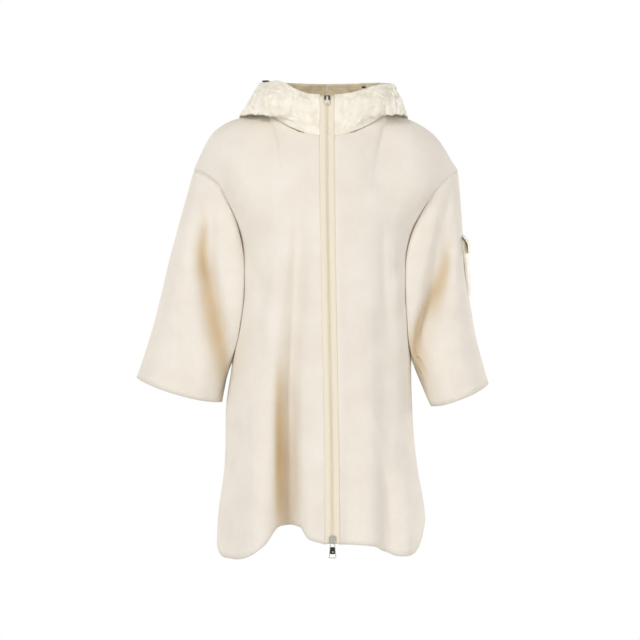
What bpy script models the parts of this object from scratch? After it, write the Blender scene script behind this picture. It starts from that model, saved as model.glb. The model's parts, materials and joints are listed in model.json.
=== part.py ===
"""Hooded cape coat: wool body with wide three-quarter sleeves, nylon hood lying down, two-way zip.

Sizes are in millimetres and become metres when a mesh is made. The origin is the middle of the
neck base, the front faces -Y, +X is the wearer's left, and +Z is up.
"""

import math

import bmesh
import bpy
import numpy as np

MM = 0.001

# Cloth and seams
WOOL = 2.4
NYLON = 1.2
TAPE = 1.4
SEAM_GAP = 0.3

# Neckline, where the nylon hood is sewn to the wool
NECK_HALF_WIDTH = 119.0
NECK_FRONT_DEPTH = 95.0
NECK_BACK_DEPTH = 78.0
NECK_FRONT_HEIGHT = -44.0
NECK_SIDE_HEIGHT = 8.0
NECK_BACK_HEIGHT = 14.0

# Body: the share of a quarter round that ends on the neckline, the rest ends on the shoulder
NECK_SHARE = 0.3
NECK_COLUMNS = 8
SHOULDER_COLUMNS = 10
LOWER_ROWS = 15
UPPER_ROWS = 9
UNDERARM = -238.0
FULLNESS = 0.8
ARMHOLE_BOW = 75.0
WAIST_HEIGHT = -250.0
HEM_HEIGHT = -850.0

# Shares between which a front has more columns, for its deepest fold, and how many times more
FINER = {"left": (0.24, 0.58, 2), "right": (0.14, 0.44, 4)}

# Zip
EDGE = 14.0
ZIP_DRIFT = 10.0
TAPE_SET_IN = 0.5

# Sleeves
SLEEVE_ROWS = 11
SLEEVE_BLEND = 0.34
SLEEVE_HUG = 56.0
HUG_END = {"left": (0.64, 1.1), "right": (0.74, 1.0)}
CUFF_DROOP = 8.0
FRONT_PARTS = 3

# Hood
HOOD_ROWS = 12


class Table:
    """Rows of sizes under named columns, read as a smooth curve along the first column."""

    def __init__(self, columns, rows):
        self.columns = columns.split()
        data = np.array(rows, float)
        self.data = data[np.argsort(data[:, 0])]

    def at(self, key, column):
        keys = self.data[:, 0]
        values = self.data[:, self.columns.index(column)]
        if key <= keys[0]:
            return values[0]
        if key >= keys[-1]:
            return values[-1]
        i = int(np.searchsorted(keys, key, side="right")) - 1
        step = keys[i + 1] - keys[i]
        share = (key - keys[i]) / step
        slope_in = self.slope(keys, values, i) * step
        slope_out = self.slope(keys, values, i + 1) * step
        s2, s3 = share**2, share**3
        return (
            (2 * s3 - 3 * s2 + 1) * values[i]
            + (s3 - 2 * s2 + share) * slope_in
            + (3 * s2 - 2 * s3) * values[i + 1]
            + (s3 - s2) * slope_out
        )

    @staticmethod
    def slope(keys, values, i):
        """Slope at a row, flat where the values turn, so that the curve never overshoots."""
        if i == 0:
            return (values[1] - values[0]) / (keys[1] - keys[0])
        if i == len(keys) - 1:
            return (values[-1] - values[-2]) / (keys[-1] - keys[-2])
        before = (values[i] - values[i - 1]) / (keys[i] - keys[i - 1])
        after = (values[i + 1] - values[i]) / (keys[i + 1] - keys[i])
        if before * after <= 0:
            return 0.0
        return 2 * before * after / (before + after)


# Body rings below the underarm, half widths seen from the front
BODY = Table(
    "height left right front back",
    (
        (-238, 172, 176, 142, 125),
        (-300, 171, 178, 147, 120),
        (-364, 172, 182, 150, 118),
        (-430, 171, 185, 153, 119),
        (-500, 168, 190, 155, 122),
        (-566, 170, 202, 157, 127),
        (-640, 174, 203, 160, 132),
        (-716, 183, 206, 163, 138),
        (-784, 196, 218, 165, 142),
        (-870, 197, 221, 166, 145),
    ),
)

# Depth of the chest above the underarm
CHEST = Table("height front back", ((-238, 142, 125), (-170, 136, 124), (-100, 126, 118), (20, 112, 104)))

# Armhole seam seen from the front
ARMHOLE = Table(
    "height left right",
    (
        (-238, 172, 176),
        (-215, 177, 180),
        (-190, 189, 189),
        (-160, 207, 203),
        (-135, 228, 218),
        (-118, 246, 240),
        (-104, 262, 267),
    ),
)
TIP_HEIGHT = -104.0

# Shoulder line: height against the distance from the neck's middle
SHOULDER = Table(
    "out left right",
    (
        (119, 8, 8),
        (160, -1, 3),
        (188, -14, -3),
        (208, -27, -13),
        (228, -48, -27),
        (242, -72, -48),
        (254, -94, -74),
        (262, -104, -92),
        (267, -104, -104),
    ),
)

# Hem height against the distance from the middle, one table for each quarter
HEM = {
    ("left", "front"): Table(
        "out height",
        (
            (14, -837),
            (60, -839),
            (84, -842),
            (116, -856),
            (144, -864),
            (164, -860),
            (184, -836),
            (197, -795),
        ),
    ),
    ("right", "front"): Table(
        "out height",
        (
            (14, -837),
            (26, -834),
            (44, -830),
            (54, -825),
            (60, -810),
            (68, -806),
            (114, -806),
            (120, -812),
            (125, -838),
            (133, -847),
            (144, -857),
            (162, -867),
            (184, -873),
            (208, -871),
            (221, -850),
        ),
    ),
    ("left", "back"): Table("out height", ((0, -812), (110, -816), (160, -822), (184, -816), (197, -795))),
    ("right", "back"): Table("out height", ((0, -812), (110, -814), (170, -836), (205, -856), (221, -850))),
}

# Folds: where each starts, its distance from the middle at three heights, how far it spreads
# towards the middle and towards the side, its depth at the hem (ridges are negative), how far
# its outer lip leans over it, and how fast it grows
FOLD_COLUMNS = "start out_top out_middle out_hem spread_in spread_out depth lean growth"
FOLDS = {
    ("right", "front"): (
        (-200, 62, 94, 104, 34, 14, 74, 5, 0.8),
        (-300, 140, 142, 146, 30, 30, -10, 0, 1.0),
        (-480, 186, 190, 194, 20, 20, 9, 0, 1.0),
        (-420, 34, 30, 30, 22, 22, 5, 0, 1.0),
    ),
    ("left", "front"): (
        (-480, 34, 34, 32, 26, 26, 8, 0, 1.0),
        (-300, 74, 76, 78, 28, 26, -6, 0, 1.0),
        (-110, 108, 112, 108, 22, 22, 7, 0, 0.6),
        (-640, 106, 112, 122, 28, 14, 10, 8, 1.2),
        (-320, 150, 150, 158, 22, 22, -9, 0, 1.0),
    ),
    ("left", "back"): (
        (-150, 40, 44, 48, 30, 34, 24, 0, 1.0),
        (-330, 100, 112, 120, 30, 26, 30, 6, 1.1),
    ),
    ("right", "back"): (
        (-200, 30, 34, 40, 32, 30, 20, 0, 1.1),
        (-260, 112, 124, 132, 34, 28, 34, 8, 1.1),
    ),
}

# Hollows pressed into the chest and the upper back
DENTS = (
    ("left", "front", 112, -96, 40, 66, 10),
    ("right", "front", 66, -190, 34, 80, 5),
    ("left", "back", 60, -120, 46, 70, 7),
    ("right", "back", 78, -150, 44, 70, 6),
)

# Sleeve sections: the innermost and outermost point of each, and its depth before and behind
SLEEVE_COLUMNS = "share in_out in_height out_out out_height front back"
SLEEVE = {
    "left": Table(
        SLEEVE_COLUMNS,
        (
            (0.00, 172, -238, 262, -104, 58, 60),
            (0.14, 175, -268, 267, -152, 70, 68),
            (0.30, 175, -330, 271, -226, 80, 76),
            (0.50, 175, -405, 278, -308, 86, 82),
            (0.75, 175, -494, 294, -422, 90, 86),
            (1.00, 206, -576, 322, -530, 92, 88),
        ),
    ),
    "right": Table(
        SLEEVE_COLUMNS,
        (
            (0.00, 176, -238, 267, -104, 58, 60),
            (0.14, 181, -268, 280, -150, 70, 71),
            (0.30, 184, -330, 297, -216, 80, 78),
            (0.50, 187, -405, 320, -304, 88, 84),
            (0.75, 195, -494, 347, -418, 92, 88),
            (1.00, 208, -568, 380, -518, 92, 90),
        ),
    ),
}

# The long soft valley down the front and the back of each sleeve
VALLEY_COLUMNS = "height front_out front_depth back_out back_depth"
VALLEY = {
    "left": Table(
        VALLEY_COLUMNS,
        (
            (-150, 244, 0, 240, 0),
            (-218, 230, 14, 243, 5),
            (-290, 211, 24, 245, 14),
            (-356, 199, 29, 246, 21),
            (-428, 187, 31, 247, 25),
            (-492, 180, 27, 251, 26),
            (-560, 190, 12, 262, 24),
        ),
    ),
    "right": Table(
        VALLEY_COLUMNS,
        (
            (-150, 228, 0, 240, 0),
            (-244, 229, 16, 252, 8),
            (-322, 225, 26, 262, 18),
            (-372, 215, 30, 268, 22),
            (-434, 201, 32, 277, 25),
            (-470, 193, 31, 282, 26),
            (-560, 191, 18, 300, 23),
        ),
    ),
}
VALLEY_SPREAD = {"front": (10.0, 32.0), "back": (17.0, 17.0)}

# Hood sections round the neck, from the front (0 degrees) to the back (180 degrees): how far
# each point stands out from the neckline, and its height
HOOD = Table(
    "turn crest crest_z inner inner_z lip lip_z outer outer_z rim rim_z",
    (
        (0, 0, -26, 0, -8, 0, 6, -2, 24, -10, 38),
        (20, 1, -20, 2, -4, 3, 8, 3, 26, -7, 41),
        (38, 1, -10, 6, -8, 20, -2, 24, 20, -2, 52),
        (60, 2, 6, 16, 2, 42, 1, 38, 26, 8, 66),
        (90, 3, 20, 26, 16, 58, 3, 38, 30, 14, 70),
        (120, 6, 28, 34, 10, 66, -26, 66, 20, 30, 75),
        (150, 10, 32, 42, -14, 66, -66, 92, 2, 58, 83),
        (180, 14, 34, 48, -26, 68, -92, 104, -14, 74, 84),
    ),
)
HOOD_SPREAD = {"left": 0.72, "right": 1.0}
HOOD_RIM_DROP = {"left": 3.0, "right": 0.0}
HOOD_PEAK = {"turn": 47.0, "width": 10.0, "rise": 10.0}

# Sleeve pocket on the wearer's left sleeve, by share along the sleeve and degrees round it
POCKET = {"top": 0.335, "bottom": 0.60, "front": -23.0, "back": 49.0, "thick": 2.4, "bulge": 6.0}
FLAP = {"top": 0.315, "bottom": 0.405, "front": -25.0, "back": 51.0, "thick": 2.2, "lift": 10.0}
LAID_GAP = 0.3

# Zip sliders and their pulls
TOP_SLIDER = {"width": 12.0, "tall": 11.0, "deep": 3.4, "height": 30.0, "pin_rise": 4.0}
BOTTOM_SLIDER = {"width": 14.0, "tall": 15.0, "deep": 3.6, "height": -827.0, "pin_rise": 3.0}
SLIDER_ROUNDING = 1.1
EAR = {"thick": 1.4, "apart": 4.8, "deep": 4.8, "tall": 3.6}
PIN_OUT = 3.0
PIN_RADIUS = 0.8
PIN_CLEAR = 0.3
EYE_WALL = 1.2
EYE_WIDTH = 4.0
PULL_THICK = 1.6
NECK_OF_PULL = 1.8
ROUND_TAB = {"radius": 5.6, "drop": 9.5}
FORKED_TAB = (
    (-1.8, 1.0),
    (-1.8, -4.0),
    (-4.6, -5.5),
    (-7.6, -31.0),
    (7.6, -31.0),
    (4.6, -5.5),
    (1.8, -4.0),
    (1.8, 1.0),
)
FORK_WINDOW = ((-3.6, -20.0), (-5.2, -29.2), (5.2, -29.2), (3.6, -20.0))

# Dark cord ends on the hood's rim: side, rim column, length, shift towards the middle, lift
CORD_ENDS = {
    "hood_toggle_right": ("right", 7, 15.0, 7.0, 0.0),
    "hood_toggle_left": ("left", 3, 8.0, 0.0, 0.6),
}
CORD_END_RADIUS = 2.2

SIDES = {"left": 1.0, "right": -1.0}
FACES = {"front": -1.0, "back": 1.0}


def smooth(share):
    share = min(max(share, 0.0), 1.0)
    return share * share * (3 - 2 * share)


def drift(height):
    """The zip leans a little towards the wearer's left as it goes down."""
    return ZIP_DRIFT * smooth((-60 - height) / 780)


def edge_of(face):
    return EDGE if face == "front" else 0.0


def neck_point(side, face, turn):
    """A point of the neckline, with turn measured from the middle of its face, 90 at the side."""
    angle = math.radians(turn)
    depth = NECK_FRONT_DEPTH if face == "front" else NECK_BACK_DEPTH
    middle = NECK_FRONT_HEIGHT if face == "front" else NECK_BACK_HEIGHT
    return np.array(
        (
            SIDES[side] * NECK_HALF_WIDTH * math.sin(angle),
            FACES[face] * depth * math.cos(angle),
            middle + (NECK_SIDE_HEIGHT - middle) * math.sin(angle) ** 2,
        )
    )


def neck_turn(face, share):
    first = math.degrees(math.asin(edge_of(face) / NECK_HALF_WIDTH))
    return first + (90 - first) * share


def top_point(side, face, column):
    """Where a column of the body ends, on the neckline or on the shoulder line."""
    if column <= NECK_SHARE:
        return neck_point(side, face, neck_turn(face, column / NECK_SHARE))
    tip = ARMHOLE.at(TIP_HEIGHT, side)
    share = (column - NECK_SHARE) / (1 - NECK_SHARE)
    out = NECK_HALF_WIDTH + (tip - NECK_HALF_WIDTH) * share
    height = TIP_HEIGHT if column >= 1 else SHOULDER.at(out, side)
    return np.array((SIDES[side] * out, 0.0, height))


def ring_out(column, width, edge):
    """Distance from the middle of a column on a ring, evenly spaced round it."""
    first = math.asin(edge / width)
    return width * math.sin(first + (math.pi / 2 - first) * column)


def fold_rows(side, face):
    names = FOLD_COLUMNS.split()
    return [dict(zip(names, row)) for row in FOLDS[side, face]]


def folded(side, face, out, depth, height, width):
    """Moves a point of the body in along its folds and hollows."""
    inward_out = -out / width**2
    inward_depth = -depth / max(abs(depth), 60.0) ** 2 if depth else 0.0
    length = math.hypot(inward_out, inward_depth) or 1.0
    push = 0.0
    slide = 0.0
    for fold in fold_rows(side, face):
        grown = (fold["start"] - height) / (fold["start"] - HEM_HEIGHT)
        if grown <= 0:
            continue
        heights = (HEM_HEIGHT, -520.0, WAIST_HEIGHT)
        outs = (fold["out_hem"], fold["out_middle"], fold["out_top"])
        centre = float(np.interp(height, heights, outs))
        wide = 0.7 + 0.3 * min(grown, 1.0)
        spread = fold["spread_in"] if out < centre else fold["spread_out"]
        offset = (out - centre) / (spread * wide)
        amount = min(grown, 1.05) ** fold["growth"]
        push += fold["depth"] * amount * math.exp(-(offset**2))
        slide -= fold["lean"] * amount * math.exp(-(((offset - 1.0) / 0.55) ** 2))
    for dent_side, dent_face, at_out, at_height, half_out, half_height, deep in DENTS:
        if (dent_side, dent_face) == (side, face):
            away = ((out - at_out) / half_out) ** 2 + ((height - at_height) / half_height) ** 2
            push += deep * math.exp(-away)
    ease = smooth((width - out) / 26.0)
    ease *= smooth((out - edge_of(face)) / 14.0) if face == "front" else 1.0
    out += (push * inward_out / length + slide) * ease
    depth += push * inward_depth / length * ease
    return out, depth


def body_point(side, face, column, level):
    """A point of the body: level 0 is the hem, 1 the underarm, 2 the neckline or shoulder."""
    edge = edge_of(face)
    if level <= 1:
        hem_width = BODY.at(HEM_HEIGHT, side)
        hem = HEM[side, face].at(ring_out(column, hem_width, edge), "height")
        height = hem + (UNDERARM - hem) * level
        width = BODY.at(height, side)
        out = ring_out(column, width, edge)
        round_in = max(1 - (out / width) ** 2, 0.0) ** (FULLNESS / 2)
        depth = BODY.at(height, face) * round_in
        closing = 1.0
        top = np.zeros(3)
    else:
        rise = level - 1
        top = top_point(side, face, column)
        height = UNDERARM + (top[2] - UNDERARM) * rise
        seam_height = UNDERARM + (TIP_HEIGHT - UNDERARM) * rise
        width = ARMHOLE.at(seam_height, side)
        tip = ARMHOLE.at(TIP_HEIGHT, side)
        low_out = ring_out(column, width, edge)
        high_out = edge + (abs(top[0]) - edge) * (width - edge) / (tip - edge)
        out = low_out + (high_out - low_out) * smooth(rise * 1.4)
        down = 1 - rise
        at_neck = max(1 - column / NECK_SHARE, 0.0)
        closing = (1 - rise**2) ** (0.5 + 0.28 * at_neck)
        bow = ARMHOLE_BOW * (1 - down**3)
        round_in = max(1 - (out / width) ** 2, 0.0) ** (FULLNESS / 2)
        depth = bow + (CHEST.at(height, face) - bow) * round_in
        top_depth = abs(top[1])
        depth = top_depth + (depth - top_depth) * closing
    if level < 2:
        fade = 1.0 if level <= 1 else 1 - (level - 1) ** 4
        new_out, new_depth = folded(side, face, out, depth, height, width)
        out += (new_out - out) * fade
        depth += (new_depth - depth) * fade
    shift = drift(height) * (1 - (out / width) ** 2) if face == "front" else 0.0
    return np.array((SIDES[side] * out + max(shift, 0.0), FACES[face] * depth, height))


def body_levels():
    low = [k / LOWER_ROWS for k in range(LOWER_ROWS + 1)]
    high = [2 - (1 - k / UPPER_ROWS) ** 1.6 for k in range(1, UPPER_ROWS + 1)]
    return low + high


def body_columns(finer=()):
    """Shares from the middle to the side, each with its part of the way across a divided span."""
    neck = [NECK_SHARE * k / NECK_COLUMNS for k in range(NECK_COLUMNS)]
    rest = 1 - NECK_SHARE
    shoulder = [NECK_SHARE + rest * k / SHOULDER_COLUMNS for k in range(SHOULDER_COLUMNS + 1)]
    columns = []
    for share, following in zip(neck + shoulder, (neck + shoulder)[1:] + [None]):
        columns.append((share, 0.0))
        if following is not None and finer and finer[0] <= share < finer[1]:
            for k in range(1, finer[2]):
                part = k / finer[2]
                columns.append((share + (following - share) * part, part))
    return columns


def added_columns(columns):
    """Each added column, the main columns on both sides of it, and its part of the way."""
    mains = [i for i, (_, part) in enumerate(columns) if part == 0]
    found = []
    for i, (_, part) in enumerate(columns):
        if part:
            found.append((i, max(m for m in mains if m < i), min(m for m in mains if m > i), part))
    return found


def body_grid(side, face, finer=()):
    """Rows of points from hem to top, from the middle out. Added columns end on the seam's chord."""
    columns = body_columns(finer)
    grid = np.array([[body_point(side, face, c, level) for c, _ in columns] for level in body_levels()])
    for i, before, after, part in added_columns(columns):
        grid[-1, i] = grid[-1, before] * (1 - part) + grid[-1, after] * part
    return grid


def armhole_half(grid):
    """The armhole seam of one body quarter, from the shoulder tip down to the underarm."""
    return grid[: LOWER_ROWS - 1 : -1, -1]


class Sleeve:
    """A sleeve's surface: its first ring is the armhole seam, the others are sections."""

    def __init__(self, side, front_grid, back_grid):
        self.side = side
        self.sign = SIDES[side]
        self.table = SLEEVE[side]
        self.halves = {}
        centre, along, normal, half = self.frame(0.0)
        for name, grid in (("front", front_grid), ("back", back_grid)):
            seam = armhole_half(grid)
            steps = np.linalg.norm(np.diff(seam, axis=0), axis=1)
            turns = np.concatenate([[0.0], np.cumsum(steps)]) / steps.sum()
            local = [((p - centre) @ along / half, abs(p[1]), (p - centre) @ normal) for p in seam]
            self.halves[name] = (turns * math.pi, np.array(local))

    def frame(self, share):
        """Middle of a section, its direction outwards, its direction down the arm, its half width."""
        row = {name: self.table.at(share, name) for name in self.table.columns[1:]}
        inner = np.array((self.sign * row["in_out"], 0.0, row["in_height"]))
        outer = np.array((self.sign * row["out_out"], 0.0, row["out_height"]))
        along = (outer - inner) / np.linalg.norm(outer - inner)
        normal = np.array((-along[2], 0.0, along[0])) * -self.sign
        return (inner + outer) / 2, along, normal, np.linalg.norm(outer - inner) / 2

    def point(self, share, name, turn):
        """A point at this share along the sleeve, turn radians from its outermost line."""
        turns, local = self.halves[name]
        centre, along, normal, half = self.frame(share)
        seam = [float(np.interp(turn, turns, local[:, k])) for k in range(3)]
        cosine, sine = math.cos(turn), math.sin(turn)
        squared = math.copysign(abs(cosine) ** 0.85, cosine)
        section_depth = self.table.at(share, name) * abs(sine) ** 0.85
        blend = smooth(share / SLEEVE_BLEND)
        out = seam[0] + (squared - seam[0]) * blend
        depth = seam[1] + (section_depth - seam[1]) * blend
        point = centre + along * half * out + normal * seam[2] * (1 - blend)
        inner_side = (1 - cosine) / 2
        hug_from, hug_to = HUG_END[self.side]
        hug = SLEEVE_HUG * (1 - smooth((share - hug_from) / (hug_to - hug_from)))
        point[0] -= self.sign * hug * inner_side * sine**2 * blend
        point[2] -= CUFF_DROOP * sine**2 * share
        valley = VALLEY[self.side]
        away = abs(point[0]) - valley.at(point[2], name + "_out")
        away /= VALLEY_SPREAD[name][0 if away < 0 else 1]
        facing = smooth(sine * 2.2)
        depth -= valley.at(point[2], name + "_depth") * math.exp(-(away**2)) * facing
        point[1] = FACES[name] * depth
        return point

    def grid(self):
        """Rings from armhole to cuff, each round from the outermost line over front and back."""
        turns_front, _ = self.halves["front"]
        turns_back, _ = self.halves["back"]
        places = []
        for a, b in zip(turns_front[:-1], turns_front[1:]):
            places += [("front", a + (b - a) * k / FRONT_PARTS) for k in range(FRONT_PARTS)]
        places.append(("front", turns_front[-1]))
        for a in turns_back[-2:0:-1]:
            places.append(("back", a))
        shares = [(k / SLEEVE_ROWS) ** 1.15 for k in range(SLEEVE_ROWS + 1)]
        return np.array([[self.point(s, name, turn) for name, turn in places] for s in shares])


def hood_point(side, turn, step):
    """A point of the hood: turn 0 to 180 from the front round to the back, step 0 seam to 1 rim."""
    face = "front" if turn <= 90 else "back"
    base = neck_point(side, face, turn if turn <= 90 else 180 - turn)
    outwards = np.array((base[0], base[1], 0.0))
    outwards /= np.linalg.norm(outwards)
    at_side = math.exp(-(((turn - 80) / 42.0) ** 2))
    spread = 1 + (HOOD_SPREAD[side] - 1) * at_side
    outs = [0.0]
    heights = [base[2]]
    for name in ("crest", "inner", "lip", "outer", "rim"):
        outs.append(HOOD.at(turn, name) * (spread if name in ("lip", "outer", "inner") else 1.0))
        heights.append(HOOD.at(turn, name + "_z"))
    heights[-1] -= HOOD_RIM_DROP[side] * at_side
    if side == "right":
        past_peak = (turn - HOOD_PEAK["turn"]) / HOOD_PEAK["width"]
        heights[-1] += HOOD_PEAK["rise"] * math.exp(-(past_peak**2))
    lengths = np.hypot(np.diff(outs), np.diff(heights))
    along = np.concatenate([[0.0], np.cumsum(lengths)]) / lengths.sum()
    out = Table("key value", list(zip(along, outs))).at(step, "value")
    height = Table("key value", list(zip(along, heights))).at(step, "value")
    point = base + outwards * out
    point[2] = height
    return point


def hood_grid(side):
    """Rows from the neck seam to the rim, columns from the zip round to the middle back."""
    turns = [neck_turn("front", k / NECK_COLUMNS) for k in range(NECK_COLUMNS + 1)]
    turns += [90 + 90 * k / NECK_COLUMNS for k in range(1, NECK_COLUMNS + 1)]
    rows = [k / HOOD_ROWS for k in range(HOOD_ROWS + 1)]
    grid = np.array([[hood_point(side, turn, row) for turn in turns] for row in rows])
    grid[:, 0, 0] = SIDES[side] * EDGE
    grid[:, -1, 0] = 0.0
    return grid


def add_normals(sums, grid, closed, sign):
    """Adds each face's direction to its corners, so that pieces sewn together share it."""
    rows, columns = grid.shape[:2]
    for r in range(rows - 1):
        for c in range(columns if closed else columns - 1):
            d = (c + 1) % columns
            corners = (grid[r, c], grid[r, d], grid[r + 1, d], grid[r + 1, c])
            normal = np.cross(corners[2] - corners[0], corners[3] - corners[1]) * sign
            for corner in corners:
                key = tuple(np.round(corner, 3))
                sums[key] = sums.get(key, np.zeros(3)) + normal


def normals_of(sums, grid, seam_row=None, added=()):
    """Outward directions of a grid's points. Added points of a seam take their neighbours' mean."""
    found = np.array([[sums[tuple(np.round(point, 3))] for point in row] for row in grid])
    found /= np.linalg.norm(found, axis=2, keepdims=True)
    for c, before, after, part in added:
        found[seam_row, c] = found[seam_row, before] * (1 - part) + found[seam_row, after] * part
    return found


def drawn_in(grid):
    """Draws the free edges of a grid in by half the seam gap."""
    moved = grid.copy()

    def step(target, source):
        across = source - target
        return across / np.linalg.norm(across, axis=-1, keepdims=True) * SEAM_GAP / 2

    moved[0] += step(grid[0], grid[1])
    moved[-1] += step(grid[-1], grid[-2])
    moved[:, 0] += step(grid[:, 0], grid[:, 1])
    moved[:, -1] += step(grid[:, -1], grid[:, -2])
    return moved


def material(name, colour, roughness, metallic=0.0):
    made = bpy.data.materials.get(name) or bpy.data.materials.new(name)
    made.use_nodes = True
    shader = made.node_tree.nodes["Principled BSDF"]
    shader.inputs["Base Color"].default_value = (*colour, 1.0)
    shader.inputs["Roughness"].default_value = roughness
    shader.inputs["Metallic"].default_value = metallic
    return made


def place_mesh(name, mesh_edit, finish):
    mesh = bpy.data.meshes.new(name)
    bmesh.ops.recalc_face_normals(mesh_edit, faces=mesh_edit.faces)
    if mesh_edit.calc_volume(signed=True) < 0:
        bmesh.ops.reverse_faces(mesh_edit, faces=mesh_edit.faces)
    mesh_edit.to_mesh(mesh)
    mesh_edit.free()
    mesh.shade_smooth()
    mesh.set_sharp_from_angle(angle=math.radians(50))
    mesh.materials.append(finish)
    made = bpy.data.objects.new(name, mesh)
    bpy.context.scene.collection.objects.link(made)
    return made


def wall(name, outer, inner, finish, closed=False):
    """A cloth wall between two grids of points, closed all round its edges."""
    mesh_edit = bmesh.new()
    layers = []
    for grid in (outer, inner):
        layers.append([[mesh_edit.verts.new(point * MM) for point in row] for row in grid])
    rows, columns = outer.shape[:2]
    spans = columns if closed else columns - 1
    for skin in layers:
        for r in range(rows - 1):
            for c in range(spans):
                d = (c + 1) % columns
                mesh_edit.faces.new((skin[r][c], skin[r][d], skin[r + 1][d], skin[r + 1][c]))
    front, behind = layers
    for r in (0, rows - 1):
        for c in range(spans):
            d = (c + 1) % columns
            mesh_edit.faces.new((front[r][c], front[r][d], behind[r][d], behind[r][c]))
    if not closed:
        for c in (0, columns - 1):
            for r in range(rows - 1):
                mesh_edit.faces.new((front[r][c], front[r + 1][c], behind[r + 1][c], behind[r][c]))
    return place_mesh(name, mesh_edit, finish)


def square_to_zip(normals):
    """Keeps the wall of a zip edge straight behind it."""
    normals[:, 0, 0] = 0.0
    normals[:, 0] /= np.linalg.norm(normals[:, 0], axis=1, keepdims=True)
    return normals


def skins(grid, normals, thickness):
    """Outer and inner points of a sewn piece, its free edges drawn in at the seams."""
    return drawn_in(grid), drawn_in(grid - normals * thickness)


def apart_at_shoulder(pair, face, columns, added=()):
    """Keeps both skins of a front or back on their own side of the shoulder seam."""
    for skin in pair:
        skin[-1, columns, 1] = FACES[face] * SEAM_GAP / 2
        for c, before, after, part in added:
            skin[-1, c] = skin[-1, before] * (1 - part) + skin[-1, after] * part
    return pair


def tape_grid(side, body_grids, hood_grids):
    """Half of the zip tape: it follows the front edges of the body and of the hood."""
    sign = SIDES[side]
    own = np.vstack([body_grids[side][:, 0], hood_grids[side][1:, 0]])
    other_side = "right" if side == "left" else "left"
    other = np.vstack([body_grids[other_side][:, 0], hood_grids[other_side][1:, 0]])
    middle = (own + other) / 2
    outer_edge = own.copy()
    outer_edge[:, 1] += TAPE_SET_IN
    outer_edge[:, 0] = middle[:, 0] + sign * (EDGE - SEAM_GAP / 2)
    centre = middle.copy()
    centre[:, 1] += TAPE_SET_IN
    centre[:, 0] = middle[:, 0] + sign * SEAM_GAP / 2
    return np.stack([centre, outer_edge], axis=1)


def tape_at(tape, height):
    """Place of the middle of the zip's outer face at a height, and how much it leans."""
    centre = tape[:, 0]
    order = np.argsort(centre[:, 2])
    heights = centre[order, 2]
    across = float(np.interp(height, heights, centre[order, 0]))
    depth = float(np.interp(height, heights, centre[order, 1]))
    above = float(np.interp(height + 6, heights, centre[order, 1]))
    below = float(np.interp(height - 6, heights, centre[order, 1]))
    return across, depth, math.atan2(above - below, 12.0)


def block(name, low, high, finish, bevel=0.0):
    """A box between two corners, its edges rounded."""
    mesh_edit = bmesh.new()
    bmesh.ops.create_cube(mesh_edit, size=1.0)
    low, high = np.array(low), np.array(high)
    bmesh.ops.scale(mesh_edit, vec=(high - low) * MM, verts=mesh_edit.verts)
    bmesh.ops.translate(mesh_edit, vec=(high + low) / 2 * MM, verts=mesh_edit.verts)
    if bevel:
        bmesh.ops.bevel(
            mesh_edit,
            geom=mesh_edit.edges[:],
            offset=bevel * MM,
            segments=2,
            profile=0.5,
            affect="EDGES",
            material=-1,
        )
    return place_mesh(name, mesh_edit, finish)


def rod(name, centre, radius, length, finish, sides=20):
    """A round bar along X."""
    mesh_edit = bmesh.new()
    bmesh.ops.create_cone(
        mesh_edit,
        cap_ends=True,
        segments=sides,
        radius1=radius * MM,
        radius2=radius * MM,
        depth=length * MM,
    )
    for vertex in mesh_edit.verts:
        x, y, z = vertex.co
        vertex.co = (z + centre[0] * MM, x + centre[1] * MM, y + centre[2] * MM)
    return place_mesh(name, mesh_edit, finish)


def plate(name, outline, thickness, finish):
    """A flat outline in X and Z, given a thickness in Y about zero."""
    mesh_edit = bmesh.new()
    corners = [mesh_edit.verts.new((x * MM, -thickness / 2 * MM, z * MM)) for x, z in outline]
    face = mesh_edit.faces.new(corners)
    grown = bmesh.ops.extrude_face_region(mesh_edit, geom=[face])
    fresh = [item for item in grown["geom"] if isinstance(item, bmesh.types.BMVert)]
    bmesh.ops.translate(mesh_edit, vec=(0, thickness * MM, 0), verts=fresh)
    return place_mesh(name, mesh_edit, finish)


def combine(base, helper, operation):
    """Joins a helper to a piece, or cuts it out of it."""
    helper.hide_render = True
    helper.display_type = "WIRE"
    step = base.modifiers.new(helper.name, "BOOLEAN")
    step.operation = operation
    step.solver = "EXACT"
    step.object = helper


def slider(name, sizes, tape, finish):
    """A slider body on the tape with two ears and a pin between them. Gives the pin's place."""
    across, depth, lean = tape_at(tape, sizes["height"])
    half_wide, half_tall = sizes["width"] / 2, sizes["tall"] / 2
    back = -LAID_GAP
    front = back - sizes["deep"]
    low, high = (-half_wide, front, -half_tall), (half_wide, back, half_tall)
    made = block(name, low, high, finish, SLIDER_ROUNDING)
    pin_height = -half_tall + sizes["pin_rise"]
    pin_depth = front - PIN_OUT
    for number, sign in enumerate((-1, 1)):
        inner = sign * EAR["apart"] / 2
        outer = sign * (EAR["apart"] / 2 + EAR["thick"])
        ear = block(
            f"{name}_ear_{number}",
            (min(inner, outer), front - EAR["deep"], pin_height - EAR["tall"] / 2),
            (max(inner, outer), front + 1.0, pin_height + EAR["tall"] / 2),
            finish,
            0.4,
        )
        combine(made, ear, "UNION")
        ear.parent = made
    pin = rod(f"{name}_pin", (0, pin_depth, pin_height), PIN_RADIUS, EAR["apart"] + EAR["thick"], finish)
    combine(made, pin, "UNION")
    pin.parent = made
    made.location = (across * MM, depth * MM, sizes["height"] * MM)
    made.rotation_euler = (-lean, 0, 0)
    turn_cos, turn_sin = math.cos(-lean), math.sin(-lean)
    pin_at = (
        across,
        depth + pin_depth * turn_cos - pin_height * turn_sin,
        sizes["height"] + pin_depth * turn_sin + pin_height * turn_cos,
    )
    return pin_at


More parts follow.
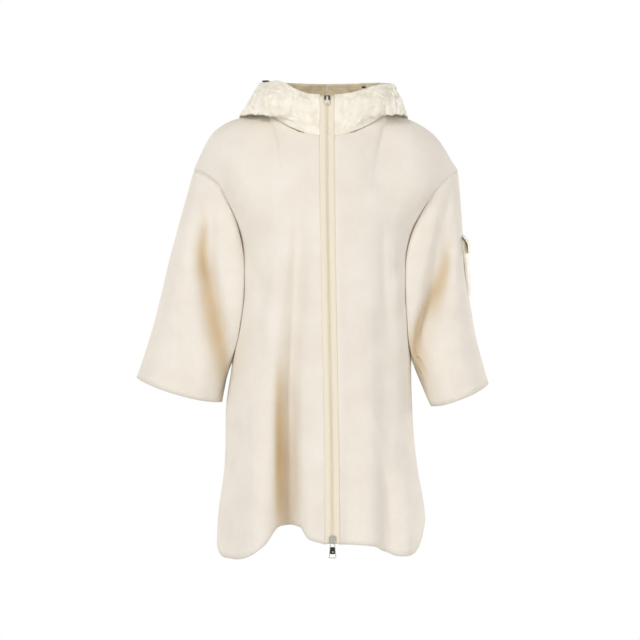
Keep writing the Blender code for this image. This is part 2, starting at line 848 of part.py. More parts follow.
def pull(name, outline, pin_at, finish, hole=None):
    """A pull tab whose eye goes round the slider's pin. Its origin is on the pin's axis."""
    made = plate(name, outline, PULL_THICK, finish)
    eye = rod(f"{name}_eye", (0, 0, 0), PIN_RADIUS + PIN_CLEAR + EYE_WALL, EYE_WIDTH, finish)
    combine(made, eye, "UNION")
    bore = rod(f"{name}_bore", (0, 0, 0), PIN_RADIUS + PIN_CLEAR, EYE_WIDTH * 3, finish)
    combine(made, bore, "DIFFERENCE")
    helpers = [eye, bore]
    if hole:
        window = plate(f"{name}_window", hole, PULL_THICK * 3, finish)
        combine(made, window, "DIFFERENCE")
        helpers.append(window)
    for helper in helpers:
        helper.parent = made
    made.location = (pin_at[0] * MM, pin_at[1] * MM, pin_at[2] * MM)


def laid_on_sleeve(name, sleeve, sizes, rows, columns, height_of, finish):
    """A patch made from the sleeve's own points, moved out."""
    shares = np.linspace(sizes["top"], sizes["bottom"], rows + 1)
    turns = np.radians(np.linspace(sizes["front"], sizes["back"], columns + 1))

    def surface(share, turn):
        return sleeve.point(share, "front" if turn < 0 else "back", abs(turn))

    low, high = [], []
    for i, share in enumerate(shares):
        low_row, high_row = [], []
        for j, turn in enumerate(turns):
            point = surface(share, turn)
            down = surface(share + 0.01, turn) - surface(share - 0.01, turn)
            round_ = surface(share, turn + 0.05) - surface(share, turn - 0.05)
            normal = np.cross(down, round_)
            normal /= np.linalg.norm(normal)
            if normal[0] * sleeve.sign < 0:
                normal = -normal
            gap, thick = height_of(i / rows, abs(2 * j / columns - 1))
            low_row.append(point + normal * gap)
            high_row.append(point + normal * (gap + thick))
        low.append(low_row)
        high.append(high_row)
    return wall(name, np.array(high), np.array(low), finish)


def pocket_height(down, aside):
    full = (1 - aside**4) * math.sin(math.pi * min(max(down, 0.02), 0.98)) ** 0.5
    return LAID_GAP, POCKET["thick"] + POCKET["bulge"] * full


def flap_height(down, aside):
    over_pocket = POCKET["thick"] + POCKET["bulge"] + 2 * LAID_GAP
    lift = over_pocket * smooth((down - 0.08) / 0.3) + (FLAP["lift"] - over_pocket) * down * (1 - aside**2)
    return 2 * LAID_GAP + max(lift, 0.0), FLAP["thick"]


def main():
    for thing in list(bpy.data.objects):
        bpy.data.objects.remove(thing, do_unlink=True)

    wool = material("cream_wool", (0.80, 0.74, 0.65), 0.9)
    nylon = material("cream_nylon", (0.84, 0.79, 0.70), 0.5)
    tape_cloth = material("cream_zip_tape", (0.80, 0.74, 0.62), 0.7)
    dark_metal = material("dark_metal", (0.06, 0.06, 0.06), 0.35, 1.0)

    # The shell is worked out whole, so that pieces sewn together share their edges
    fronts = {side: body_grid(side, "front", FINER[side]) for side in SIDES}
    backs = {side: body_grid(side, "back") for side in SIDES}
    sleeves = {}
    sleeve_grids = {}
    for side in SIDES:
        coarse_front = body_grid(side, "front")
        sleeves[side] = Sleeve(side, coarse_front, backs[side])
        sleeve_grids[side] = sleeves[side].grid()
    hoods = {side: hood_grid(side) for side in SIDES}

    sums = {}
    for side, sign in SIDES.items():
        add_normals(sums, fronts[side], False, sign)
        add_normals(sums, backs[side], False, -sign)
        add_normals(sums, hoods[side], False, sign)
        add_normals(sums, sleeve_grids[side], True, sign)

    # Fronts and back
    for side in SIDES:
        columns = body_columns(FINER[side])
        shoulder = [i for i, (share, _) in enumerate(columns) if share > NECK_SHARE]
        added = added_columns(columns)
        normals = square_to_zip(normals_of(sums, fronts[side], -1, added))
        pair = apart_at_shoulder(skins(fronts[side], normals, WOOL), "front", shoulder, added)
        wall(f"front_{side}", *pair, wool)
    whole_back = np.concatenate([backs["right"][:, :0:-1], backs["left"]], axis=1)
    last = whole_back.shape[1] - 1
    shoulder = [i for i in range(last + 1) if i < SHOULDER_COLUMNS or i > last - SHOULDER_COLUMNS]
    pair = apart_at_shoulder(skins(whole_back, normals_of(sums, whole_back), WOOL), "back", shoulder)
    wall("back", *pair, wool)

    # Sleeves, their first ring moved off the armhole seam down the arm
    for side in SIDES:
        grid = sleeve_grids[side]
        spans = range(0, FRONT_PARTS * UPPER_ROWS, FRONT_PARTS)
        added = [(a + k, a, a + FRONT_PARTS, k / FRONT_PARTS) for a in spans for k in range(1, FRONT_PARTS)]
        normals = normals_of(sums, grid, 0, added)
        off_seam = sleeves[side].frame(0.0)[2] * SEAM_GAP
        outer = grid.copy()
        inner = grid - normals * WOOL
        outer[0] += off_seam
        inner[0] += off_seam
        wall(f"sleeve_{side}", outer, inner, wool, closed=True)

    # Hood halves, sewn at the middle back
    for side, sign in SIDES.items():
        pair = skins(hoods[side], square_to_zip(normals_of(sums, hoods[side])), NYLON)
        for skin in pair:
            skin[0, :, 2] += SEAM_GAP
            skin[:, -1, 0] = sign * SEAM_GAP / 2
        wall(f"hood_{side}", *pair, nylon)

    # Zip tape, one half each side
    tapes = {side: tape_grid(side, fronts, hoods) for side in SIDES}
    for side, sign in SIDES.items():
        tape_sums = {}
        add_normals(tape_sums, tapes[side], False, sign)
        inner = tapes[side] - square_to_zip(normals_of(tape_sums, tapes[side])[:, ::-1])[:, ::-1] * TAPE
        wall(f"zip_tape_{side}", tapes[side], inner, tape_cloth)

    # Sliders and pulls
    top_pin = slider("zip_slider_top", TOP_SLIDER, tapes["left"], dark_metal)
    bottom_pin = slider("zip_slider_bottom", BOTTOM_SLIDER, tapes["left"], dark_metal)
    radius, drop = ROUND_TAB["radius"], ROUND_TAB["drop"]
    ring = np.radians(np.arange(332, 27, -19))
    round_tab = [(radius * math.sin(a), radius * math.cos(a) - drop) for a in ring]
    top_outline = [(-NECK_OF_PULL, 1.0), *round_tab, (NECK_OF_PULL, 1.0)]
    pull("zip_pull_top", top_outline, top_pin, dark_metal)
    pull("zip_pull_bottom", FORKED_TAB, bottom_pin, dark_metal, FORK_WINDOW)
    print("pin axes, mm", [round(v, 3) for v in top_pin], [round(v, 3) for v in bottom_pin])

    # Pocket on the wearer's left sleeve
    laid_on_sleeve("sleeve_pocket", sleeves["left"], POCKET, 8, 10, pocket_height, nylon)
    laid_on_sleeve("pocket_flap", sleeves["left"], FLAP, 5, 10, flap_height, nylon)

    # Dark cord ends lying on the hood's rim
    for name, (side, column, length, shift, lift) in CORD_ENDS.items():
        at = hoods[side][-1][column] + np.array((-SIDES[side] * shift, 0.0, 0.0))
        at[2] += CORD_END_RADIUS + LAID_GAP + lift
        rod(name, at, CORD_END_RADIUS, length, dark_metal, 14)


main()
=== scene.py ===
# %% [markdown]
# A hooded cape coat in cream wool, seen filled out as if worn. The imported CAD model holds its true
# form. Here each cloth piece gets its own surface, creases, seams and stitching, the zip gets its
# teeth, and everything gets a material worked out from real cloth and metal.

# %% Load the frame
import json
import math

import bmesh
import bpy
import numpy as np
from mathutils import Matrix, Vector, noise
from mathutils.bvhtree import BVHTree
from mathutils.kdtree import KDTree


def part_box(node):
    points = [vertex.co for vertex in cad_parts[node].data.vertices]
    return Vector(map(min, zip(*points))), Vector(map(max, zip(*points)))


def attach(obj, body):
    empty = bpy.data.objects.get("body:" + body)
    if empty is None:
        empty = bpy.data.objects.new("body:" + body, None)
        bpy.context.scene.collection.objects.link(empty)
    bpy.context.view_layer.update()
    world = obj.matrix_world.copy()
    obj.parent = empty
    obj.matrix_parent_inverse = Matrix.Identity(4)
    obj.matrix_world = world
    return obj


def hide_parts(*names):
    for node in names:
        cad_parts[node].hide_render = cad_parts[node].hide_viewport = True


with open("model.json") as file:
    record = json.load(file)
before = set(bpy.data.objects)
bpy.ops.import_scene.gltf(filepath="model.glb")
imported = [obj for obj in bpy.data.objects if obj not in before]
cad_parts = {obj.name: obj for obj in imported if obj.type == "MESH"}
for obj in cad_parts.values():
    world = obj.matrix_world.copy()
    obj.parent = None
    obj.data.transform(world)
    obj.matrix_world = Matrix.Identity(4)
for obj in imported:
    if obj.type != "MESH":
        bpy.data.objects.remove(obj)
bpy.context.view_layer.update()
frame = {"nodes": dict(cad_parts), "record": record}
MM = 0.001
print("CAD nodes:", len(frame["nodes"]))

# %% [markdown]
# The camera comes first, because everything is judged through it. The photo was taken from far
# away with a long lens, level with the middle of the garment, so its sides hardly converge. A
# lens of 126.6 mm at 4.5 m shows 1.28 m across the frame.

# %% Camera
PHOTO_WIDTH = 1.28
CAMERA_AWAY = 4.5
SENSOR = 36.0

lens = bpy.data.cameras.new("photo_lens")
lens.sensor_width = SENSOR
lens.lens = SENSOR * CAMERA_AWAY / PHOTO_WIDTH
lens.clip_end = 50.0
camera = bpy.data.objects.new("camera", lens)
camera.location = (-0.014, -CAMERA_AWAY, -0.404)
camera.rotation_euler = (math.radians(90), 0, 0)
bpy.context.scene.collection.objects.link(camera)
bpy.context.scene.camera = camera
print("lens", round(lens.lens, 1), "mm")

# %% [markdown]
# A node tree is easier to read when each node is one line. The helper add_node adds a node, sets its
# properties and its input values, and links other sockets into its inputs. The rest add the kinds
# that every cloth here needs. Colours are written as sRGB hex, as a paint shop names them, and
# turned to the linear values that Blender mixes.

# %% Helpers for materials
def linear(code):
    """An sRGB hex colour as linear red, green, blue and 1."""
    channels = [int(code[i:i + 2], 16) / 255 for i in (0, 2, 4)]
    return (*[c / 12.92 if c <= 0.04045 else ((c + 0.055) / 1.055) ** 2.4 for c in channels], 1.0)


def add_node(tree, kind, settings=None, values=None, links=None):
    """Adds a node. values and links are keyed by input name or number."""
    node = tree.nodes.new(kind)
    for name, value in (settings or {}).items():
        setattr(node, name, value)
    for key, value in (values or {}).items():
        node.inputs[key].default_value = value
    for key, socket in (links or {}).items():
        tree.links.new(socket, node.inputs[key])
    return node


def new_material(name):
    """A material with an empty tree, its shader and its output."""
    made = bpy.data.materials.new(name)
    made.use_nodes = True
    tree = made.node_tree
    tree.nodes.clear()
    shader = add_node(tree, "ShaderNodeBsdfPrincipled")
    add_node(tree, "ShaderNodeOutputMaterial", links={"Surface": shader.outputs["BSDF"]})
    return made, tree, shader


def add_ramp(tree, amount, *stops):
    """A colour that runs through (place, hex colour) stops."""
    ramp = add_node(tree, "ShaderNodeValToRGB", links={"Fac": amount})
    elements = ramp.color_ramp.elements
    while len(elements) < len(stops):
        elements.new(0.5)
    for element, (place, code) in zip(elements, stops):
        element.position = place
        element.color = linear(code)
    return ramp.outputs["Color"]


def add_noise(tree, place, scale, detail, settings=None, **values):
    """A noise node. scale is in cycles for each metre."""
    return add_node(
        tree, "ShaderNodeTexNoise", settings, {"Scale": scale, "Detail": detail, **values}, {"Vector": place}
    )


def add_bump(tree, strength, distance, height, under=None):
    """A normal bumped by a height, over another bumped normal. distance is in metres."""
    links = {"Height": height}
    if under:
        links["Normal"] = under
    bump = add_node(tree, "ShaderNodeBump", values={"Strength": strength, "Distance": distance}, links=links)
    return bump.outputs["Normal"]


def add_math(tree, operation, *terms):
    """A math node. Each term is a number or a socket."""
    node = add_node(tree, "ShaderNodeMath", {"operation": operation})
    for i, term in enumerate(terms):
        if isinstance(term, float):
            node.inputs[i].default_value = term
        else:
            tree.links.new(term, node.inputs[i])
    return node.outputs[0]


def add_smooth_step(tree, value, low, high, start=0.0, end=1.0):
    """Goes softly from start to end as a value goes from low to high."""
    ends = {"From Min": low, "From Max": high, "To Min": start, "To Max": end}
    settings = {"interpolation_type": "SMOOTHSTEP"}
    return add_node(tree, "ShaderNodeMapRange", settings, ends, {"Value": value}).outputs["Result"]


def set_shader(shader, **values):
    """Sets constants on a shader, named with _ for a space."""
    for name, value in values.items():
        shader.inputs[name.replace("_", " ")].default_value = value


# %% [markdown]
# Seams and stitches follow the edges of each piece, so every cloth piece carries two numbers in
# each vertex: how far it is from its stitched edge, and how far along that edge. One group of nodes
# turns them into a row of stitches with a slight groove: the same row serves the hem, the cuffs,
# the hood's rim and the pocket. A stitch and its gap are 3.2 mm long, and the thread 0.7 mm wide.

# %% A row of stitches from two attributes
STITCH_LONG = 3.2 * MM
STITCH_WIDE = 0.7 * MM


def stitch_row(tree, away):
    """Height of a groove and of its stitches, away metres from the stitched edge."""
    across = add_node(tree, "ShaderNodeAttribute", {"attribute_name": "from_edge"})
    along = add_node(tree, "ShaderNodeAttribute", {"attribute_name": "along_edge"})
    distance = add_math(tree, "ABSOLUTE", add_math(tree, "SUBTRACT", across.outputs["Fac"], away))
    groove = add_smooth_step(tree, distance, 0.0, 1.8 * MM)
    cycle = add_math(tree, "PINGPONG", along.outputs["Fac"], STITCH_LONG / 2)
    long_enough = add_smooth_step(tree, cycle, 0.12 * STITCH_LONG, 0.22 * STITCH_LONG)
    near_line = add_smooth_step(tree, distance, STITCH_WIDE / 2, STITCH_WIDE, 1.0, 0.0)
    return groove, add_math(tree, "MULTIPLY", long_enough, near_line)


# %% [markdown]
# Double-faced wool is woven in two layers, then felted and brushed, so no weave shows: the eye
# sees a short nap that catches light at grazing angles, with faint clouds where it lies another
# way. It is very rough (0.95), with a soft sheen. The nap is about 0.5 mm, drawn 1.4 mm coarse so
# that it still shows from a step away. In the deepest folds the colour is darkened towards honey:
# this is painted shade, standing for the warm shadow where light bounces from wool to wool.

# %% Brushed double-faced wool
NAP = 1.4 * MM
CLOUD = 60 * MM

wool, tree, shader = new_material("brushed_double_faced_wool")
place = add_node(tree, "ShaderNodeTexCoord").outputs["Object"]
cloud = add_noise(tree, place, 1 / CLOUD, 3.0)
nap = add_noise(tree, place, 1 / NAP, 4.0, Roughness=0.65)
tone = add_ramp(tree, cloud.outputs["Fac"], (0.3, "EDE8E0"), (0.7, "F3EFE8"))
nap_tone = add_ramp(tree, nap.outputs["Fac"], (0.3, "EAE2D4"), (0.65, "FFFFFF"))
multiply = {"data_type": "RGBA", "blend_type": "MULTIPLY"}
napped = add_node(tree, "ShaderNodeMix", multiply, {"Factor": 0.3}, {"A": tone, "B": nap_tone})
# Painted shade: on the walls of the deepest folds the colour is multiplied towards a darker honey, by a
# per-vertex attribute
painted_fold_shade = add_node(tree, "ShaderNodeAttribute", {"attribute_name": "painted_fold_shade"})
fold_shade_painted = add_node(
    tree,
    "ShaderNodeMix",
    multiply,
    {"B": linear("DEC8A2")},
    {"Factor": painted_fold_shade.outputs["Fac"], "A": napped.outputs["Result"]},
)
groove, thread = stitch_row(tree, 7 * MM)
surface = add_bump(tree, 0.35, 0.5 * MM, nap.outputs["Fac"])
surface = add_bump(tree, 0.6, 0.6 * MM, groove, surface)
surface = add_bump(tree, 0.5, 0.3 * MM, thread, surface)
tree.links.new(fold_shade_painted.outputs["Result"], shader.inputs["Base Color"])
tree.links.new(surface, shader.inputs["Normal"])
set_shader(shader, Roughness=0.95, IOR=1.45, Specular_IOR_Level=0.25)
set_shader(shader, Sheen_Weight=0.12, Sheen_Roughness=0.5, Sheen_Tint=linear("FFF6E6"))
print("material:", wool.name)

# %% [markdown]
# The hood is a light nylon, plainly woven from shiny filament and washed so that it crinkles. It is
# smoother than wool (0.5) and its plain weave is about 0.25 mm, drawn at 0.9 mm. The large crinkles
# are in the mesh; the finest ones, 6 mm and less, are bump.

# %% Crinkled nylon
# A wave node of scale 0.314 repeats once a metre
BANDS = 0.314
WEAVE = 0.9 * MM
FINE_CRINKLE = 6 * MM


def make_nylon(name, light, shade):
    made, tree, shader = new_material(name)
    place = add_node(tree, "ShaderNodeTexCoord").outputs["Object"]
    ridged = {"noise_type": "RIDGED_MULTIFRACTAL"}
    crinkle = add_noise(tree, place, 1 / FINE_CRINKLE / 2, 3.0, ridged, Distortion=0.6)
    weave_x, weave_z = [
        add_node(
            tree,
            "ShaderNodeTexWave",
            {"bands_direction": direction},
            {"Scale": BANDS / WEAVE, "Distortion": 0.4},
            {"Vector": place},
        ).outputs["Fac"]
        for direction in "XZ"
    ]
    cloud = add_noise(tree, place, 45.0, 4.0)
    groove, thread = stitch_row(tree, 9 * MM)
    surface = add_bump(tree, 0.45, 0.8 * MM, crinkle.outputs["Fac"])
    surface = add_bump(tree, 0.12, 0.15 * MM, add_math(tree, "MULTIPLY", weave_x, weave_z), surface)
    surface = add_bump(tree, 0.6, 0.5 * MM, groove, surface)
    surface = add_bump(tree, 0.5, 0.3 * MM, thread, surface)
    tone = add_ramp(tree, cloud.outputs["Fac"], (0.35, shade), (0.6, light))
    tree.links.new(tone, shader.inputs["Base Color"])
    tree.links.new(surface, shader.inputs["Normal"])
    set_shader(shader, Roughness=0.5, IOR=1.53, Specular_IOR_Level=0.4, Sheen_Weight=0.1, Sheen_Roughness=0.4)
    return made


nylon = make_nylon("washed_crinkled_nylon", "F9F6EC", "EFE9D9")
# A darker copy of the same nylon for the inner faces of each piece: painted shade for the shadow inside the
# hood
nylon_shaded_inside = make_nylon("washed_crinkled_nylon_painted_shade_inside", "E4DAC0", "DACDAE")
print("materials:", nylon.name, nylon_shaded_inside.name)

# %% [markdown]
# Zip tape is a dense polyester twill: fine ribs 0.8 mm apart run across a matt cream. The coil is
# extruded polyester monofilament, so it is smooth and a little glossy (0.35).

# %% Zip tape and coil
RIB = 0.8 * MM

zip_tape, tree, shader = new_material("polyester_twill_tape")
place = add_node(tree, "ShaderNodeTexCoord").outputs["Object"]
twill = (0, math.radians(40), 0)
turned = add_node(tree, "ShaderNodeMapping", values={"Rotation": twill}, links={"Vector": place})
ribs = add_node(
    tree,
    "ShaderNodeTexWave",
    {"bands_direction": "Z"},
    {"Scale": BANDS / RIB, "Distortion": 0.3},
    {"Vector": turned.outputs["Vector"]},
).outputs["Fac"]
tree.links.new(add_ramp(tree, ribs, (0.0, "EAE2CE"), (1.0, "F4EDDC")), shader.inputs["Base Color"])
tree.links.new(add_bump(tree, 0.4, 0.2 * MM, ribs), shader.inputs["Normal"])
set_shader(shader, Roughness=0.8, IOR=1.57)

zip_coil, tree, shader = new_material("extruded_polyester_coil")
place = add_node(tree, "ShaderNodeTexCoord").outputs["Object"]
streak = add_noise(tree, place, 900.0, 2.0).outputs["Fac"]
tree.links.new(add_ramp(tree, streak, (0.3, "EBE2CD"), (0.7, "F2EBDA")), shader.inputs["Base Color"])
set_shader(shader, Roughness=0.35, IOR=1.57)
print("materials:", zip_tape.name, zip_coil.name)

# %% [markdown]
# The sliders are die-cast zinc over a tumbled surface, the lower one plated with bright nickel and
# the upper one with a brownish black nickel, with small soft scratches. The forked pull holds a
# black enamelled plate, and the round upper pull is enamelled cream.

# %% Plated zinc, black nickel and enamel
def make_plated(name, code, roughness, metallic=1.0):
    made, tree, shader = new_material(name)
    place = add_node(tree, "ShaderNodeTexCoord").outputs["Object"]
    scuff = add_noise(tree, place, 1400.0, 5.0, Roughness=0.7)
    dull = add_node(
        tree,
        "ShaderNodeMapRange",
        values={"From Min": 0.3, "From Max": 0.7, "To Min": roughness - 0.08, "To Max": roughness + 0.12},
        links={"Value": scuff.outputs["Fac"]},
    )
    tone = add_node(
        tree,
        "ShaderNodeMix",
        {"data_type": "RGBA", "blend_type": "MULTIPLY"},
        {"Factor": 0.15, "A": linear(code)},
        {"B": scuff.outputs["Color"]},
    )
    tree.links.new(tone.outputs["Result"], shader.inputs["Base Color"])
    tree.links.new(dull.outputs["Result"], shader.inputs["Roughness"])
    tree.links.new(add_bump(tree, 0.15, 0.05 * MM, scuff.outputs["Fac"]), shader.inputs["Normal"])
    set_shader(shader, Metallic=metallic)
    return made


nickel = make_plated("nickel_plated_zinc", "DEDAD2", 0.24)
black_nickel = make_plated("black_nickel_plated_zinc", "857D70", 0.35)
black_enamel = make_plated("black_enamel", "1C1C1D", 0.3, 0.0)
cream_enamel = make_plated("cream_enamel", "E6E0D4", 0.3, 0.0)
black_rubber = make_plated("moulded_black_rubber", "35322E", 0.55, 0.0)
print("metals:", nickel.name, black_nickel.name)

# %% [markdown]
# The cloth pieces come from the CAD walls. Each wall is closed, with an outer skin, an inner skin and
# narrow strips round its edges. Only the outer skin is wanted as an open sheet: it is smoothed, and
# given creases, and a Solidify modifier then makes the wall again. A ray shot in from a skin face
# meets the other skin about one wall thickness away, and a ray from an edge strip goes further. The
# strips also have sharp edges and edges as long as the wall is thick. Of the two skins, the outer
# one looks away from the wearer.

# %% From a CAD wall to a smooth open sheet
CREASE_ANGLE = math.radians(70)
# A ray that goes further than this many walls has missed the other skin
FAR_WALLS = 2.6
WALL_TOLERANCE = 0.04
JOIN_SHAPES = (50, 90, 180)
SMALL_HOLE = 60 * MM


def skin_islands(bm, thickness):
    """The outer and inner skins of a closed wall, as lists of faces."""
    tree = BVHTree.FromBMesh(bm)
    is_skin = {}
    for face in bm.faces:
        centre = face.calc_center_median()
        start = centre - face.normal * 0.02 * MM
        _, _, _, distance = tree.ray_cast(start, -face.normal)
        across_wall = sum(abs(edge.calc_length() / thickness - 1) < WALL_TOLERANCE for edge in face.edges)
        sharp = sum(edge.calc_face_angle(0.0) > CREASE_ANGLE for edge in face.edges)
        far = distance is None or distance > FAR_WALLS * thickness
        is_skin[face] = sharp < 2 if far else sharp < 2 or across_wall < len(face.edges) - 2
    islands = []
    unseen = {face for face, skin in is_skin.items() if skin}
    while unseen:
        waiting = [unseen.pop()]
        island = []
        while waiting:
            face = waiting.pop()
            island.append(face)
            for edge in face.edges:
                for other in edge.link_faces:
                    if other in unseen and face.normal.dot(other.normal) > math.cos(CREASE_ANGLE):
                        unseen.discard(other)
                        waiting.append(other)
        islands.append(island)
    skins = sorted(islands, key=len, reverse=True)[:2]
    owner = {face: skin for skin in skins for face in skin}
    waiting = list(owner)
    while waiting:
        face = waiting.pop()
        for other in {other for edge in face.edges for other in edge.link_faces}:
            if other not in owner and is_skin[other]:
                owner[other] = owner[face]
                owner[face].append(other)
                waiting.append(other)
    return skins


def close_small_holes(bm):
    """Fills any hole of a sheet that is less than SMALL_HOLE round."""
    for loop in border_loops(bm):
        pairs = {frozenset(pair) for pair in zip(loop, loop[1:] + loop[:1])}
        edges = [edge for edge in bm.edges if edge.is_boundary and frozenset(edge.verts) in pairs]
        if sum(edge.calc_length() for edge in edges) < SMALL_HOLE:
            bmesh.ops.holes_fill(bm, edges=edges, sides=len(edges))
            print("hole closed,", len(edges), "edges round")
    bm.verts.ensure_lookup_table()


def open_sheet(node, thickness, levels, centre):
    """The outer skin of a CAD wall, smoothed, as a bmesh. centre(point) is what it looks away from."""
    bm = bmesh.new()
    bm.from_mesh(frame["nodes"][node].data)
    bmesh.ops.remove_doubles(bm, verts=bm.verts, dist=0.01 * MM)
    for shape_limit in JOIN_SHAPES:
        bmesh.ops.join_triangles(
            bm,
            faces=[face for face in bm.faces if len(face.verts) == 3],
            angle_face_threshold=math.radians(60),
            angle_shape_threshold=math.radians(shape_limit),
            topology_influence=1.0,
        )
    bm.normal_update()
    first, second = skin_islands(bm, thickness)
    print(node, "skins:", len(first), len(second))

    def outwardness(island):
        return sum(
            face.calc_area() * face.normal.dot(face.calc_center_median() - centre(face.calc_center_median()))
            for face in island
        )

    outer = set(first if outwardness(first) > outwardness(second) else second)
    bmesh.ops.delete(bm, geom=[face for face in bm.faces if face not in outer], context="FACES")
    mesh = bpy.data.meshes.new(node + "_sheet")
    bm.to_mesh(mesh)
    bm.free()
    helper = bpy.data.objects.new("smoothing", mesh)
    bpy.context.scene.collection.objects.link(helper)
    smoothing = helper.modifiers.new("smooth", "SUBSURF")
    smoothing.levels = levels
    smoothing.render_levels = levels
    smoothing.boundary_smooth = "PRESERVE_CORNERS"
    depsgraph = bpy.context.evaluated_depsgraph_get()
    bm = bmesh.new()
    bm.from_mesh(helper.evaluated_get(depsgraph).to_mesh())
    bpy.data.objects.remove(helper)
    bm.verts.ensure_lookup_table()
    close_small_holes(bm)
    bm.normal_update()
    print(node, "sheet:", len(bm.faces), "faces")
    return bm


def upright(point):
    """The middle of the body at a point's height."""
    return Vector((0.0, 0.0, point.z))


# %% [markdown]
# A sheet's border runs from corner to corner. Each run is a seam or a free edge: the hem, the cuff,
# the rim. A KD-tree of points along a run gives every vertex its distance from it, and its place
# along it.

# %% Border runs and distances
def border_loops(bm):
    """The closed loops of vertices along the border of a sheet."""
    neighbours = {}
    for edge in bm.edges:
        if edge.is_boundary:
            for vertex, other in (edge.verts, reversed(edge.verts)):
                neighbours.setdefault(vertex, []).append(other)
    loops = []
    unseen = set(neighbours)
    while unseen:
        loop = [next(vertex for vertex in neighbours if vertex in unseen)]
        unseen.discard(loop[0])
        while True:
            onward = [vertex for vertex in neighbours[loop[-1]] if vertex in unseen]
            if not onward:
                break
            loop.append(onward[0])
            unseen.discard(onward[0])
        loops.append(loop)
    return loops


def border_runs(bm, corners):
    """A sheet's border as runs of points. A single loop is split at its sharpest turns."""
    loops = border_loops(bm)
    if len(loops) > 1:
        return [[vertex.co.copy() for vertex in loop + loop[:1]] for loop in loops]
    loop = [vertex.co.copy() for vertex in loops[0]]
    count = len(loop)

    def turning(i):
        before = loop[i] - loop[i - 1]
        after = loop[(i + 1) % count] - loop[i]
        return before.angle(after, 0.0)

    sharpest = sorted(sorted(range(count), key=turning)[-corners:])
    runs = []
    for start, end in zip(sharpest, sharpest[1:] + [sharpest[0] + count]):
        runs.append([loop[i % count] for i in range(start, end + 1)])
    return runs


def distances(points, run):
    """For each point, its distance from a run and its place along it, in metres."""
    dense = []
    travelled = 0.0
    for a, b in zip(run[:-1], run[1:]):
        length = (b - a).length
        steps = max(int(length / MM), 1)
        dense += [(a.lerp(b, i / steps), travelled + length * i / steps) for i in range(steps)]
        travelled += length
    dense.append((run[-1], travelled))
    tree = KDTree(len(dense))
    for i, (point, _) in enumerate(dense):
        tree.insert(point, i)
    tree.balance()
    found = [tree.find(point) for point in points]
    return np.array([f[2] for f in found]), np.array([dense[f[1]][1] for f in found])


def mean_height(run):
    return sum(point.z for point in run) / len(run)


def lowest(runs):
    return min(runs, key=mean_height)


def highest(runs):
    return max(runs, key=mean_height)


borders = {}


def keep_borders(node, bm, runs):
    """Keeps a sheet's border runs as pairs of point and outward direction, for seams and piping."""
    normals = {tuple(vertex.co): vertex.normal.copy() for vertex in bm.verts}
    borders[node] = [[(point, normals[tuple(point)]) for point in run] for run in runs]
